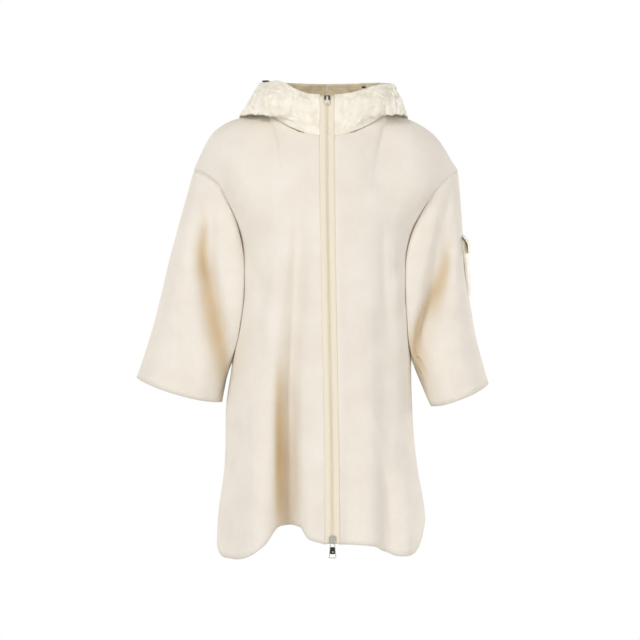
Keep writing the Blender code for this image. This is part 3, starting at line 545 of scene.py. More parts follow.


# %% [markdown]
# Thick wool doesn't wrinkle finely: it drags in long, soft troughs from the underarm, the elbow and
# the hip, each a few millimetres deep. They are given in millimetres, as seen from the
# front: where each starts and ends, how far it bows to its right, how wide it is on the left and on
# the right of someone who goes along it, and how far the cloth stands in (negative) or out. No two
# are alike.

# %% Crease tables
CREASE_COLUMNS = "x0 z0 x1 z1 bow left_width right_width rise"
CREASES = {
    ("front_left", "front"): (
        (112, -236, 124, -430, 5, 7, 9, -2.2),
        (128, -262, 136, -404, -3, 8, 6, 1.6),
        (50, -560, 118, -730, 9, 8, 12, -2.4),
        (70, -532, 134, -680, 7, 9, 8, 1.5),
        (86, -606, 122, -790, -6, 7, 10, -1.8),
        (40, -286, 50, -540, 6, 14, 16, -1.5),
        (170, -232, 118, -338, -8, 8, 10, -3.0),
        (174, -262, 138, -396, -10, 9, 7, -2.2),
        (166, -214, 96, -262, 6, 7, 9, -1.8),
        (150, -108, 128, -206, 6, 12, 15, -2.0),
        (66, -120, 104, -196, -8, 16, 14, 1.6),
        (110, -800, 116, -866, 2, 3, 7, -3.4),
        (158, -560, 150, -760, 8, 9, 12, -2.0),
    ),
    ("front_right", "front"): (
        (-172, -236, -116, -352, 9, 9, 8, -3.0),
        (-176, -268, -142, -410, 10, 8, 9, -2.0),
        (-168, -212, -92, -254, -7, 8, 7, -1.8),
        (-56, -170, -72, -410, -7, 15, 12, -1.9),
        (-96, -250, -112, -470, 6, 10, 12, 1.6),
        (-132, -300, -146, -540, -8, 10, 12, -1.7),
        (-36, -500, -30, -760, 6, 11, 9, -1.6),
        (-160, -560, -164, -800, -6, 9, 10, -2.2),
        (-184, -600, -196, -820, 5, 8, 8, 1.6),
        (-92, -560, -88, -822, 0, 16, 9, -4.0),
        (-146, -112, -124, -214, -6, 14, 12, -1.8),
        (-64, -108, -96, -170, 9, 16, 14, 1.4),
    ),
    ("back", "back"): (
        (150, -250, 84, -380, 10, 10, 8, -2.8),
        (158, -282, 118, -450, -9, 8, 10, -2.0),
        (-154, -246, -92, -360, -9, 9, 9, -2.8),
        (-160, -290, -120, -470, 11, 9, 8, -2.2),
        (30, -180, 36, -470, 8, 14, 15, -2.8),
        (-44, -230, -50, -540, -9, 13, 15, -2.4),
        (96, -470, 110, -760, 8, 10, 12, -3.4),
        (-100, -500, -118, -800, -8, 11, 10, -3.6),
        (-6, -560, 4, -800, 7, 13, 12, -2.8),
        (66, -90, 120, -170, -8, 14, 13, -2.2),
        (-70, -96, -122, -178, 8, 13, 14, -2.4),
    ),
    ("sleeve_left", "front"): (
        (262, -250, 224, -322, 7, 9, 10, -2.4),
        (270, -300, 226, -392, -8, 8, 10, -2.0),
        (282, -372, 236, -470, 9, 9, 12, -2.2),
        (250, -452, 262, -540, 5, 10, 8, -1.6),
        (240, -235, 181, -440, -6, 28, 12, -8.0),
        (181, -425, 184, -555, 0, 24, 12, -7.0),
        (244, -150, 222, -226, -6, 9, 8, -1.8),
    ),
    ("sleeve_left", "back"): (
        (262, -236, 220, -320, -8, 9, 9, -2.4),
        (274, -330, 214, -430, 9, 9, 10, -2.2),
        (290, -420, 262, -520, -6, 8, 10, -1.8),
        (220, -380, 206, -500, 6, 9, 8, -1.8),
    ),
    ("sleeve_right", "front"): (
        (-282, -230, -236, -306, -7, 10, 9, -2.4),
        (-300, -296, -242, -380, 8, 9, 10, -2.2),
        (-320, -372, -262, -462, -9, 10, 9, -2.2),
        (-296, -430, -300, -530, -6, 9, 9, -1.6),
        (-252, -450, -262, -548, 5, 8, 9, -1.4),
        (-206, -300, -196, -404, -5, 7, 8, -1.6),
        (-246, -205, -194, -530, 6, 11, 26, -9.0),
        (-252, -144, -226, -222, 6, 9, 8, -1.8),
    ),
    ("sleeve_right", "back"): (
        (-280, -236, -236, -330, 9, 9, 9, -2.4),
        (-312, -336, -250, -432, -9, 10, 9, -2.2),
        (-334, -440, -300, -530, 6, 9, 8, -1.8),
        (-240, -380, -224, -500, -6, 9, 8, -1.8),
    ),
}


# Bands of painted shade on the walls of the deepest folds, where light only reaches from other wool, in the
# same columns as the creases, with the strength of the painted warm shade in place of the rise
PAINTED_SHADE_BANDS = {
    "sleeve_right": (
        (-241, -210, -237, -330, 4, 9, 15, 0.8),
        (-238, -296, -196, -530, 2, 11, 17, 0.85),
    ),
    "sleeve_left": (
        (236, -258, 187, -408, -8, 16, 11, 0.8),
        (186, -392, 182, -548, 8, 15, 10, 0.8),
    ),
    "front_right": (
        (-94, -500, -90, -826, 0, 17, 10, 1.0),
    ),
}


def crease_height(x, z, row):
    """How far a crease moves each point out, for points seen from the front in millimetres."""
    crease = dict(zip(CREASE_COLUMNS.split(), row))
    start = np.array((crease["x0"], crease["z0"]))
    reach = np.array((crease["x1"], crease["z1"])) - start
    length = np.hypot(*reach)
    along = ((x - start[0]) * reach[0] + (z - start[1]) * reach[1]) / length**2
    across = ((x - start[0]) * reach[1] - (z - start[1]) * reach[0]) / length
    inside = np.clip(along, 0, 1)
    across = across - crease["bow"] * 4 * inside * (1 - inside)
    width = np.where(across < 0, crease["left_width"], crease["right_width"]) * (0.75 + 0.5 * inside)
    beyond = (along - inside) * length / (2 * width)
    fading = np.sin(np.pi * (0.06 + 0.88 * inside)) ** 0.7
    return crease["rise"] * fading * np.exp(-((across / width) ** 2) - beyond**2)


# %% [markdown]
# Now the wool pieces. A crease moves each vertex along its normal. Near a seam the cloth is held
# down, so creases fade out there and the cloth dips towards the stitching. The hem and the cuffs
# are free edges: there the creases run out over the edge. Slow noise under a millimetre keeps the
# wool from looking ironed.

# %% Wool pieces
WOOL_WALL = 2.4 * MM
SEAM_DIP = 1.1 * MM
SEAM_HOLD = 16 * MM
UNEVEN = 0.8 * MM
UNEVEN_SIZE = 70 * MM
WOOL_LEVELS = 2
# How far a sleeve's inner side leans over, and how much more where it faces forward or back, which
# starts at LEAN_FROM from the middle of the sleeve
LEAN = 9 * MM
LEAN_AHEAD = 12 * MM
LEAN_FROM = 35
LEAN_SOFTENED = 12
LEAN_HEIGHTS = {"sleeve_left": (-150, -215, -420, -500), "sleeve_right": (-150, -215, -430, -520)}
ARM_INNER = 176
ARM_WIDTH = 60
ARMHOLE_HELD = 30
SLEEVE_INSIDE = 12 * MM
RAY_REACH = 60 * MM
CLEAR = 1.0 * MM
PUSHED_OUT = 6 * MM

body_skins = []
SHOULDER_TOP = -150 * MM
SHOULDER_IN = 70 * MM
SHOULDER_OUT = 165 * MM


def store(mesh, name, values):
    """Keeps one number for each vertex."""
    attribute = mesh.attributes.new(name, "FLOAT", "POINT")
    attribute.data.foreach_set("value", values.astype(np.float32))


def ease(share):
    share = np.clip(share, 0.0, 1.0)
    return share * share * (3 - 2 * share)


def finish_sheet(name, bm, values, material, thickness, shaded_inside=None):
    """Makes a piece from a sheet: its wall, its material and its place in the frame."""
    mesh = bpy.data.meshes.new(name)
    bm.to_mesh(mesh)
    bm.free()
    for key, data in values.items():
        store(mesh, key, data)
    mesh.shade_smooth()
    mesh.materials.append(material)
    piece = bpy.data.objects.new(name, mesh)
    bpy.context.scene.collection.objects.link(piece)
    wall = piece.modifiers.new("wall", "SOLIDIFY")
    wall.thickness = thickness
    wall.offset = -1.0
    # The inner faces take the darker copy of the nylon, painted shade
    if shaded_inside:
        mesh.materials.append(shaded_inside)
        wall.material_offset = 1
    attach(piece, "garment")
    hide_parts(name.replace("_cloth", ""))
    return piece


def measure_sheet(node, bm, free_run):
    """Where a sheet's vertices are, and how far from its free edge and from its seams."""
    points = [vertex.co.copy() for vertex in bm.verts]
    runs = border_runs(bm, 4)
    free = free_run(runs)
    from_edge, along_edge = distances(points, free)
    seams = [run for run in runs if run is not free]
    keep_borders(node, bm, runs)
    return {
        "points": points,
        "place": np.array(points),
        "normals": np.array([vertex.normal for vertex in bm.verts]),
        "runs": runs,
        "free": free,
        "from_edge": from_edge,
        "along_edge": along_edge,
        "from_seam": np.min([distances(points, run)[0] for run in seams], axis=0),
    }


def wool_piece(node):
    """A wool panel or sleeve with its creases, seams and stitched free edge."""
    levels = WOOL_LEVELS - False
    bm = open_sheet(node, WOOL_WALL, levels, arm_middle if node.startswith("sleeve") else upright)
    shoulder = [
        vertex
        for vertex in bm.verts
        if vertex.co.z > SHOULDER_TOP
        and SHOULDER_IN < abs(vertex.co.x) < SHOULDER_OUT
        and not vertex.is_boundary
    ]
    every_way = {"use_axis_x": True, "use_axis_y": True, "use_axis_z": True}
    for _ in range(10 * levels**2):
        bmesh.ops.smooth_vert(bm, verts=shoulder, factor=0.5, **every_way)
    bm.normal_update()
    sheet = measure_sheet(node, bm, lowest)
    points, place, normals, from_seam = sheet["points"], sheet["place"], sheet["normals"], sheet["from_seam"]
    rise = np.zeros(len(points))
    for (owner, face), rows in CREASES.items():
        if owner != node:
            continue
        facing = ease(0.5 - normals[:, 1] * 1.6) if face == "front" else ease(0.5 + normals[:, 1] * 1.6)
        for row in rows:
            rise += crease_height(place[:, 0] / MM, place[:, 2] / MM, row) * MM * facing
    cloud = np.array([noise.noise(point / UNEVEN_SIZE) for point in points])
    rise += cloud * UNEVEN
    rise *= ease(from_seam / SEAM_HOLD)
    rise -= SEAM_DIP * np.exp(-((from_seam / (4 * MM)) ** 2))
    moved = place + normals * rise[:, None]
    if node.startswith("sleeve"):
        moved[:, 0] -= leaning(node, place, normals, moved, bm)
    # Painted shade: a warm darkening tint on the front-facing walls of the deepest folds
    painted_fold_shade = np.zeros(len(points))
    for row in PAINTED_SHADE_BANDS.get(node, ()):
        painted_fold_shade += crease_height(place[:, 0] / MM, place[:, 2] / MM, row) * ease(0.4 - normals[:, 1] * 2)
    painted_fold_shade = np.clip(painted_fold_shade, 0, 1)
    for vertex, point in zip(bm.verts, moved):
        vertex.co = point
    if not node.startswith("sleeve"):
        body_skins.append(BVHTree.FromBMesh(bm))
    values = {"from_edge": sheet["from_edge"], "along_edge": sheet["along_edge"], "painted_fold_shade": painted_fold_shade}
    piece = finish_sheet(node + "_cloth", bm, values, wool, WOOL_WALL)
    print(node, "rise from", round(rise.min() / MM, 1), "to", round(rise.max() / MM, 1), "mm")
    return piece


def room_beside(point, sign):
    """How far a sleeve's point can go towards the body and stay clear of it."""
    start = Vector(point) + Vector((sign * SLEEVE_INSIDE, 0, 0))
    hits = [skin.ray_cast(start, Vector((-sign, 0, 0)), RAY_REACH)[3] for skin in body_skins]
    return min([hit for hit in hits if hit is not None], default=RAY_REACH) - SLEEVE_INSIDE - CLEAR


def leaning(node, place, normals, moved, bm):
    """How far the inner side of a sleeve leans over to hang beside the body, just clear of it."""
    sign = 1 if node == "sleeve_left" else -1
    top, full, low, end = LEAN_HEIGHTS[node]
    height = place[:, 2] / MM
    window = ease((top - height) / (top - full)) * ease((height - end) / (low - end))
    inner = ease(0.45 - normals[:, 0] * sign * 1.3)
    near = ease((ARM_WIDTH + ARM_INNER - np.abs(place[:, 0]) / MM) / ARM_WIDTH)
    ahead = LEAN_AHEAD * ease((np.abs(place[:, 1]) / MM - LEAN_FROM) / LEAN_FROM)
    wanted = (LEAN + ahead) * window * inner * near
    room = np.array([room_beside(point, sign) for point in moved])
    lean = np.minimum(wanted, room)
    pairs = np.array([[vertex.index for vertex in edge.verts] for edge in bm.edges])
    counts = np.bincount(pairs.ravel(), minlength=len(lean))
    for _ in range(LEAN_SOFTENED):
        sums = np.bincount(pairs[:, 0], lean[pairs[:, 1]], len(lean))
        sums += np.bincount(pairs[:, 1], lean[pairs[:, 0]], len(lean))
        lean = (lean + sums / counts) / 2
    below_seam = ease((top - height) / ARMHOLE_HELD)
    return sign * np.maximum(np.minimum(lean, room), -PUSHED_OUT) * below_seam


def arm_middle(point):
    """The middle of a sleeve at a point's height."""
    down = min(max((-0.1 - point.z) / 0.47, 0.0), 1.0)
    across = 0.228 + 0.036 * down if point.x > 0 else -(0.228 + 0.066 * down)
    return Vector((across, 0.0, point.z))


WOOL_PIECES = {
    "front_left": ((0.31, 0.85), 0.209),
    "front_right": ((0.42, 0.85), 0.248),
    "back": ((0.59, 0.84), 0.425),
    "sleeve_left": ((0.49, 0.47), 0.189),
    "sleeve_right": ((0.58, 0.48), 0.210),
}
for node, (flat, area) in WOOL_PIECES.items():
    wool_piece(node)

# %% [markdown]
# The hood is nylon and holds far finer wrinkles than wool. They run up and down its bags, with
# sharp ridges and broad flats between, so ridged noise of three sizes is used, stretched along the
# height. The rim has a stitched channel for its cord, so near the rim the wrinkles shorten into
# small gathers. Each size has a seed and a share of the depth.

# %% Nylon hood, pocket and flap
NYLON_WALL = 1.0 * MM
NYLON_LEVELS = 3
HOOD_SOLID = 1.4 * MM
POCKET_SOLID = 9 * MM
CRINKLE_SIZES = ((26 * MM, 3.1, 1.0), (11 * MM, 8.4, 0.6), (6 * MM, 5.2, 0.3))
SEWN_DOWN = {"sleeve_pocket": 2.0 * MM, "pocket_flap": 1.6 * MM}


def crinkle(point, size, seed):
    """Ridged noise from 0 to 1: sharp ridges with soft flats between."""
    shifted = Vector((point.x, point.y, point.z * 0.45)) / size + Vector((seed, seed * 1.7, -seed))
    return 1 - abs(noise.noise(shifted) + 0.35 * noise.noise(shifted * 2.3 + Vector((9, 4, 1)))) * 1.6


def nylon_piece(node, depth):
    """A nylon piece with crinkles in its mesh and a stitched edge."""
    thickness, middle = (HOOD_SOLID, upright) if node.startswith("hood") else (POCKET_SOLID, arm_middle)
    bm = open_sheet(node, thickness, NYLON_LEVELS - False, middle)
    sheet = measure_sheet(node, bm, highest)
    points, from_edge, along_edge = sheet["points"], sheet["from_edge"], sheet["along_edge"]
    rise = np.zeros(len(points))
    for size, seed, share in CRINKLE_SIZES:
        rise += (np.array([crinkle(point, size, seed) for point in points]) - 0.6) * depth * share
    rise *= 0.06 + 0.94 * ease(sheet["from_seam"] / (14 * MM))
    rise *= 0.35 + 0.65 * ease(from_edge / (12 * MM))
    gather = np.sin(along_edge / (5.5 * MM)) * np.exp(-((from_edge - 10 * MM) / (5 * MM)) ** 2)
    rise += gather * depth * 0.25
    if node in SEWN_DOWN:
        runs_down = [sheet["free"]] if node == "pocket_flap" else sheet["runs"]
        from_sewn = np.min([distances(points, run)[0] for run in runs_down], axis=0)
        rise -= SEWN_DOWN[node] * np.exp(-((from_sewn / (3.5 * MM)) ** 2))
    for vertex, point in zip(bm.verts, sheet["place"] + sheet["normals"] * rise[:, None]):
        vertex.co = point
    values = {"from_edge": from_edge, "along_edge": along_edge}
    piece = finish_sheet(node + "_cloth", bm, values, nylon, NYLON_WALL, nylon_shaded_inside)


nylon_piece("hood_left", 4.0 * MM)
nylon_piece("hood_right", 4.0 * MM)
nylon_piece("sleeve_pocket", 0.8 * MM)
nylon_piece("pocket_flap", 0.7 * MM)
print("nylon pieces made")

# %% [markdown]
# Where two pieces are sewn, their edges turn in and lie against each other. A thin roll of the same
# cloth, sunk a little below the surface, fills each seam, so that no light shows through. It follows
# the border of the sheet that was measured above. The neckline gets a corded piping instead, which
# stands a little proud of the wool.

# %% Seams and neckline piping
# No rod runs along this direction, so it gives each ring its first spoke
OFF_AXIS = Vector((0.31, -0.9, 0.3))


def tube(name, lines, radius, material, sides=8, body="garment"):
    """One mesh of round rods along lines of points."""
    bm = bmesh.new()
    for line in lines:
        closed = (line[0] - line[-1]).length < 1e-6
        points = line[:-1] if closed else line
        count = len(points)
        rings = []
        for i, point in enumerate(points):
            before = points[i - 1] if closed or i else point
            after = points[(i + 1) % count] if closed or i < count - 1 else point
            along = (after - before).normalized()
            side = along.cross(OFF_AXIS).normalized()
            up = along.cross(side)
            turns = [2 * math.pi * k / sides for k in range(sides)]
            spokes = [(side * math.cos(t) + up * math.sin(t)) * radius for t in turns]
            rings.append([bm.verts.new(point + spoke) for spoke in spokes])
        for ring, onward in zip(rings, rings[1:] + (rings[:1] if closed else [])):
            for k in range(sides):
                bm.faces.new((ring[k], ring[(k + 1) % sides], onward[(k + 1) % sides], onward[k]))
        if not closed:
            bm.faces.new(rings[0])
            bm.faces.new(rings[-1])
    bmesh.ops.recalc_face_normals(bm, faces=bm.faces)
    return solid(name, bm, material, body)


def solid(name, bm, material, body, replaced=()):
    """Places a finished bmesh as a piece that rides on a body."""
    mesh = bpy.data.meshes.new(name)
    bm.to_mesh(mesh)
    bm.free()
    mesh.shade_smooth()
    mesh.set_sharp_from_angle(angle=math.radians(40))
    mesh.materials.append(material)
    piece = bpy.data.objects.new(name, mesh)
    bpy.context.scene.collection.objects.link(piece)
    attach(piece, body)
    if replaced:
        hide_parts(*replaced)
    return piece


def moved_line(run, out):
    """A border run with each point moved out of the cloth, at points at least 5 mm apart."""
    kept = [run[0]]
    for pair in run[1:-1]:
        if (pair[0] - kept[-1][0]).length > 5 * MM:
            kept.append(pair)
    return [point + normal * out for point, normal in kept + [run[-1]]]


seam_lines = []
for node in ("front_left", "front_right"):
    zip_edge = min(borders[node], key=lambda run: sum(abs(point.x) for point, _ in run) / len(run))
    hem = min(borders[node], key=lambda run: sum(point.z for point, _ in run) / len(run))
    seam_lines += [moved_line(run, -2.2 * MM) for run in borders[node] if run not in (zip_edge, hem)]
    seam_lines.append(moved_line(zip_edge, -2.2 * MM)[2:-2])
tube("seam_rolls", seam_lines, 1.6 * MM, wool)

neck_lines = []
for node in ("hood_left", "hood_right"):
    base = min(borders[node], key=lambda run: sum(point.z for point, _ in run) / len(run))
    neck_lines.append(moved_line(base, 0.5 * MM))
tube("neckline_piping", neck_lines, 1.9 * MM, wool)
print("seam rolls:", len(seam_lines), "piping:", len(neck_lines))

# %% [markdown]
# The zip. Each tape is a strip of twill 14 mm wide. Across it, from the wool to the middle, it rises
# out of the seam, runs flat, and dips where the coil is stitched on. Its line comes from the CAD
# tape: the middle leans 10 mm to the wearer's left on its way down, and a ray from the front finds
# how far out the tape is at each height.

# %% Zip tapes
TAPE_PROFILE = (
    (13.7, -0.9),
    (13.2, 0.1),
    (12.2, 0.5),
    (9.0, 0.6),
    (5.4, 0.5),
    (4.1, 0.2),
    (3.5, -0.5),
    (0.12, -0.7),
)
TAPE_STEP = 5 * MM
ZIP_DRIFT = 10 * MM
ZIP_BOTTOM = -0.8355
ZIP_TOP = 0.0375

tape_trees = {}
for node in ("zip_tape_left", "zip_tape_right"):
    bm = bmesh.new()
    bm.from_mesh(frame["nodes"][node].data)
    tape_trees[node] = BVHTree.FromBMesh(bm)
    bm.free()


def zip_middle(height):
    """A point of the zip's middle line on the outside of the tape."""
    down = min(max((-0.06 - height) / 0.78, 0.0), 1.0)
    across = ZIP_DRIFT * down * down * (3 - 2 * down)
    hit = tape_trees["zip_tape_left"].ray_cast(Vector((across + 3 * MM, -1, height)), Vector((0, 1, 0)))[0]
    return Vector((across, hit.y, height))


def zip_frames(step):
    """Places along the zip, step apart, each with the directions up along it and out of it."""
    heights = np.arange(ZIP_BOTTOM, ZIP_TOP, 2 * MM)
    points = [zip_middle(height) for height in heights]
    found = []
    travelled, wanted = 0.0, 0.0
    for a, b in zip(points[:-1], points[1:]):
        length = (b - a).length
        while wanted < travelled + length:
            up = (b - a).normalized()
            out = Vector((0, -up.z, up.y)).normalized()
            found.append((a.lerp(b, (wanted - travelled) / length), up, out))
            wanted += step
        travelled += length
    return found


def tape_piece(side, sign):
    """One tape, from the seam to the coil."""
    bm = bmesh.new()
    rows = []
    for middle, up, out in zip_frames(TAPE_STEP):
        across = up.cross(out) * sign
        if across.x * sign < 0:
            across = -across
        rows.append([bm.verts.new(middle + across * x * MM + out * y * MM) for x, y in TAPE_PROFILE])
    for low, high in zip(rows[:-1], rows[1:]):
        for k in range(len(TAPE_PROFILE) - 1):
            corners = (low[k], high[k], high[k + 1], low[k + 1])
            bm.faces.new(corners if sign < 0 else corners[::-1])
    count = len(bm.verts)
    values = {"from_edge": np.ones(count), "along_edge": np.zeros(count)}
    piece = finish_sheet("zip_tape_" + side + "_cloth", bm, values, zip_tape, 0.8 * MM)


for side, sign in (("left", 1), ("right", -1)):
    tape_piece(side, sign)

# %% [markdown]
# The coil's loops show as two rows of small slanting beads that mesh in the middle, 1.6 mm apart,
# with a 0.8 mm offset between the rows. Each bead is a low sphere of 24 faces, squeezed to a loop's
# size, because a thousand of them are needed.

# %% Zip coil
LOOP_PITCH = 1.6 * MM
LOOP_SIZE = (1.9 * MM, 0.75 * MM, 0.62 * MM)

bead = bmesh.new()
squeeze = Matrix.Diagonal((*LOOP_SIZE, 1.0))
bmesh.ops.create_uvsphere(bead, u_segments=6, v_segments=4, radius=1.0, matrix=squeeze)
bead_points = [vertex.co.copy() for vertex in bead.verts]
bead_faces = [[vertex.index for vertex in face.verts] for face in bead.faces]
bead.free()
points, faces = [], []
for sign, offset in ((1, 0.0), (-1, 0.5)):
    for place, up, out in zip_frames(LOOP_PITCH):
        across = up.cross(out).normalized()
        across = across if across.x > 0 else -across
        lean = (across * sign + up * 0.22).normalized()
        turned = Matrix((lean, out, lean.cross(out))).transposed()
        centre = place + across * sign * 1.35 * MM + up * offset * LOOP_PITCH + out * 0.15 * MM
        faces += [[index + len(points) for index in face] for face in bead_faces]
        points += [centre + turned @ point for point in bead_points]
coil_mesh = bpy.data.meshes.new("beads")
coil_mesh.from_pydata(points, [], faces)
bm = bmesh.new()
bm.from_mesh(coil_mesh)
print("coil faces:", len(bm.faces))
solid("zip_coil", bm, zip_coil, "garment")

# %% [markdown]
# The two sliders keep their CAD form. Here they get their plating: the upper one is dark, and the
# lower one, which is seen most, is bright.

# %% Sliders
def plate_node(node, material):
    """Gives a CAD node that stays in view its material."""
    mesh = frame["nodes"][node].data
    mesh.materials.clear()
    mesh.materials.append(material)


plate_node("zip_slider_top", black_nickel)
plate_node("zip_slider_bottom", nickel)

# %% [markdown]
# The pulls are drawn about their pins. The lower one is a bright wire frame that flares into two
# legs, with a black enamelled plate held in its upper half by a rivet. The upper one is a round
# tab, enamelled cream, with a small dark hole near its edge.

# %% Zip pulls
PIN_TOP, PIN_BOTTOM = [Vector(joint["pos_m"]) for joint in frame["record"]["behaviour"]["joints"]]
FRAME_WIRE = 0.75 * MM
FRAME_OUTLINE = (
    (0.0, 2.3),
    (1.6, 1.7),
    (2.3, 0.0),
    (2.9, -3.4),
    (4.3, -5.2),
    (4.7, -9.5),
    (5.4, -20.0),
    (6.2, -26.0),
    (6.9, -30.1),
    (0.0, -30.4),
)
PLATE_OUTLINE = ((-3.9, -9.4), (3.9, -9.4), (4.9, -22.4), (2.4, -23.2), (-2.4, -23.2), (-4.9, -22.4))


def at_pin(pin, x, z, y=0.0):
    return pin + Vector((x, y, z)) * MM


right_half = [at_pin(PIN_BOTTOM, x, z) for x, z in FRAME_OUTLINE]
left_half = [at_pin(PIN_BOTTOM, -x, z) for x, z in FRAME_OUTLINE[-2:0:-1]]
outline = right_half + left_half + right_half[:1]
smooth_outline = []
for a, b in zip(outline[:-1], outline[1:]):
    smooth_outline += [a.lerp(b, k / 4) for k in range(4)]
rounded = []
for i, point in enumerate(smooth_outline):
    before, after = smooth_outline[i - 1], smooth_outline[(i + 1) % len(smooth_outline)]
    rounded.append((before + point * 2 + after) / 4)
pull_frame = tube("pull_frame", [rounded + rounded[:1]], FRAME_WIRE, nickel, 8, "bottom_pull")
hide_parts("zip_pull_bottom")


def flat_plate(corners, pin, thickness, bevel):
    """A flat plate about a pin, its edges rounded."""
    bm = bmesh.new()
    face = bm.faces.new([bm.verts.new(at_pin(pin, x, z, thickness / 2)) for x, z in corners])
    grown = bmesh.ops.extrude_face_region(bm, geom=[face])["geom"]
    fresh = [item for item in grown if isinstance(item, bmesh.types.BMVert)]
    bmesh.ops.translate(bm, vec=(0, -thickness * MM, 0), verts=fresh)
    bmesh.ops.recalc_face_normals(bm, faces=bm.faces)
    rim = [edge for edge in bm.edges if len(edge.link_faces) == 2 and edge.calc_face_angle() > 1]
    bmesh.ops.bevel(bm, geom=rim, offset=bevel * MM, segments=2, profile=0.5, affect="EDGES", material=-1)
    return bm


def disc(bm, centre, radius, thickness, sides=20):
    """Adds a round button that faces the front."""
    turned = Matrix.Translation(centre) @ Matrix.Rotation(math.radians(90), 4, "X")
    size = {"radius1": radius * MM, "radius2": radius * MM, "depth": thickness * MM}
    made = bmesh.ops.create_cone(bm, cap_ends=True, segments=sides, matrix=turned, **size)
    caps = {face for vertex in made["verts"] for face in vertex.link_faces if len(face.verts) > 4}
    rim = [edge for cap in caps for edge in cap.edges]
    bmesh.ops.bevel(bm, geom=rim, offset=0.2 * MM, segments=2, profile=0.5, affect="EDGES", material=-1)


plate = flat_plate(PLATE_OUTLINE, PIN_BOTTOM, 1.3, 0.3)
solid("pull_plate", plate, black_enamel, "bottom_pull")
bm = bmesh.new()
disc(bm, at_pin(PIN_BOTTOM, 0.4, -19.0), 1.7, 1.9)
solid("pull_rivet", bm, nickel, "bottom_pull")

TAB_RADIUS = 5.5
TAB_DROP = 9.5
turns = np.radians(np.arange(345, 10, -15))
tab = [(TAB_RADIUS * math.sin(t), TAB_RADIUS * math.cos(t) - TAB_DROP) for t in turns]
tab = [(-1.7, 1.9), (-1.9, -2.0)] + tab + [(1.9, -2.0), (1.7, 1.9)]
bm = flat_plate(tab, PIN_TOP, 1.6, 0.5)
solid("round_pull", bm, cream_enamel, "top_pull", ["zip_pull_top"])
bm = bmesh.new()
disc(bm, at_pin(PIN_TOP, 0.0, -12.6), 1.1, 1.75, 16)
solid("round_pull_eyelet", bm, black_nickel, "top_pull")
print("pulls at", [round(v / MM, 1) for v in PIN_TOP], [round(v / MM, 1) for v in PIN_BOTTOM])

# %% [markdown]
# Two moulded rubber cord ends lie on the hood's rim. Each is a turned shape: a barrel with a
# rounded end, a waist and a collar where the cord goes in.

# %% Cord ends
BARREL = (
    (0.0, 0.0),
    (0.08, 0.62),
    (0.2, 0.9),
    (0.45, 1.0),
    (0.72, 0.95),
    (0.78, 0.72),
    (0.84, 0.72),
    (0.88, 0.9),
    (1.0, 0.8),
    (1.0, 0.0),
)


def cord_end(node, sign):
    """A turned cord end in place of a CAD bar that lies along X. Its rounded end points at sign."""
    low, high = (Vector(corner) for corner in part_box(node))
    middle = (low + high) / 2
    length = high.x - low.x
    radius = (high.z - low.z) / 2
    bm = bmesh.new()
    profile = []
    for along, out in BARREL:
        profile.append(bm.verts.new(middle + Vector((sign * length * (0.5 - along), 0, radius * out))))
    edges = [bm.edges.new(pair) for pair in zip(profile[:-1], profile[1:])]
    bmesh.ops.spin(
        bm, geom=profile + edges, cent=middle, axis=(1, 0, 0), angle=2 * math.pi, steps=14, use_merge=True
    )
    bmesh.ops.remove_doubles(bm, verts=bm.verts, dist=0.01 * MM)
    bmesh.ops.recalc_face_normals(bm, faces=bm.faces)
    made = solid(node + "_moulded", bm, black_rubber, "garment", [node])


cord_end("hood_toggle_right", 1)
cord_end("hood_toggle_left", -1)
print("cord ends made")

# %% [markdown]
# The floor is plain and pale, far enough below that it doesn't show in the photo's frame. The world
# gives soft light from all round, brightest at eye level, which is also what the camera sees behind
# the garment. A large soft key light stands at the front left and a weaker one at the right. Two
# more behind light the back and the edges of the sides.

# %% Floor and light
FLOOR_HEIGHT = -1.35
AMBIENT = 0.66

floor_material, tree, shader = new_material("matt_white_vinyl_floor")
place = add_node(tree, "ShaderNodeTexCoord").outputs["Object"]
mottle = add_noise(tree, place, 3.0, 2.0).outputs["Fac"]
tree.links.new(add_ramp(tree, mottle, (0.3, "F1F1F0"), (0.7, "F5F5F4")), shader.inputs["Base Color"])
set_shader(shader, Roughness=0.7)

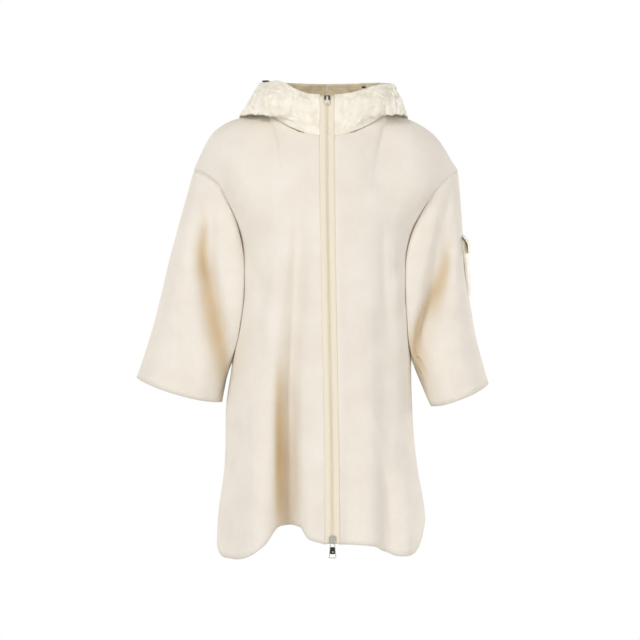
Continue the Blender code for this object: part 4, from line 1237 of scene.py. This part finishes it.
bm = bmesh.new()
bmesh.ops.create_grid(bm, x_segments=1, y_segments=1, size=1.6)
bmesh.ops.translate(bm, vec=(0, 0, FLOOR_HEIGHT), verts=bm.verts)
floor_mesh = bpy.data.meshes.new("floor")
bm.to_mesh(floor_mesh)
bm.free()
floor_mesh.materials.append(floor_material)
floor = bpy.data.objects.new("floor", floor_mesh)
bpy.context.scene.collection.objects.link(floor)

world = bpy.data.worlds.new("studio")
world.use_nodes = True
bpy.context.scene.world = world
tree = world.node_tree
tree.nodes.clear()
direction = add_node(tree, "ShaderNodeTexCoord").outputs["Generated"]
split = add_node(tree, "ShaderNodeSeparateXYZ", links={"Vector": direction})
height = add_node(tree, "ShaderNodeMapRange", values={"From Min": -1.0}, links={"Value": split.outputs["Z"]})
sky = add_ramp(
    tree, height.outputs["Result"], (0.25, "B4B1AC"), (0.42, "FFFFFF"), (0.58, "FFFFFF"), (0.8, "CFCDCA")
)
seen = add_node(tree, "ShaderNodeLightPath").outputs["Is Camera Ray"]
strength = add_node(tree, "ShaderNodeMapRange", values={"To Min": AMBIENT}, links={"Value": seen})
lit = {"Color": sky, "Strength": strength.outputs["Result"]}
background = add_node(tree, "ShaderNodeBackground", links=lit)
add_node(tree, "ShaderNodeOutputWorld", links={"Surface": background.outputs["Background"]})


def area_light(name, place, aim, size, power, code):
    """A square soft light that looks at a point."""
    data = bpy.data.lights.new(name, "AREA")
    data.shape = "SQUARE"
    data.size = size
    data.energy = power
    data.color = linear(code)[:3]
    made = bpy.data.objects.new(name, data)
    made.location = place
    made.rotation_euler = (Vector(aim) - Vector(place)).to_track_quat("-Z", "Y").to_euler()
    bpy.context.scene.collection.objects.link(made)


area_light("key", (-1.8, -2.6, 1.0), (0, 0, -0.4), 1.2, 44, "FFFAF4")
area_light("fill", (2.2, -2.4, 0.2), (0, 0, -0.4), 1.6, 24, "FFF9F2")
area_light("back_left", (-2.4, 2.2, 0.3), (0, 0, -0.4), 1.4, 26, "FFFBF6")
area_light("back_right", (2.6, 1.9, 0.3), (0, 0, -0.4), 1.4, 34, "FFFBF6")
bpy.context.scene.view_settings.view_transform = "Standard"
bpy.context.scene.view_settings.look = "None"
print("lights and floor made")
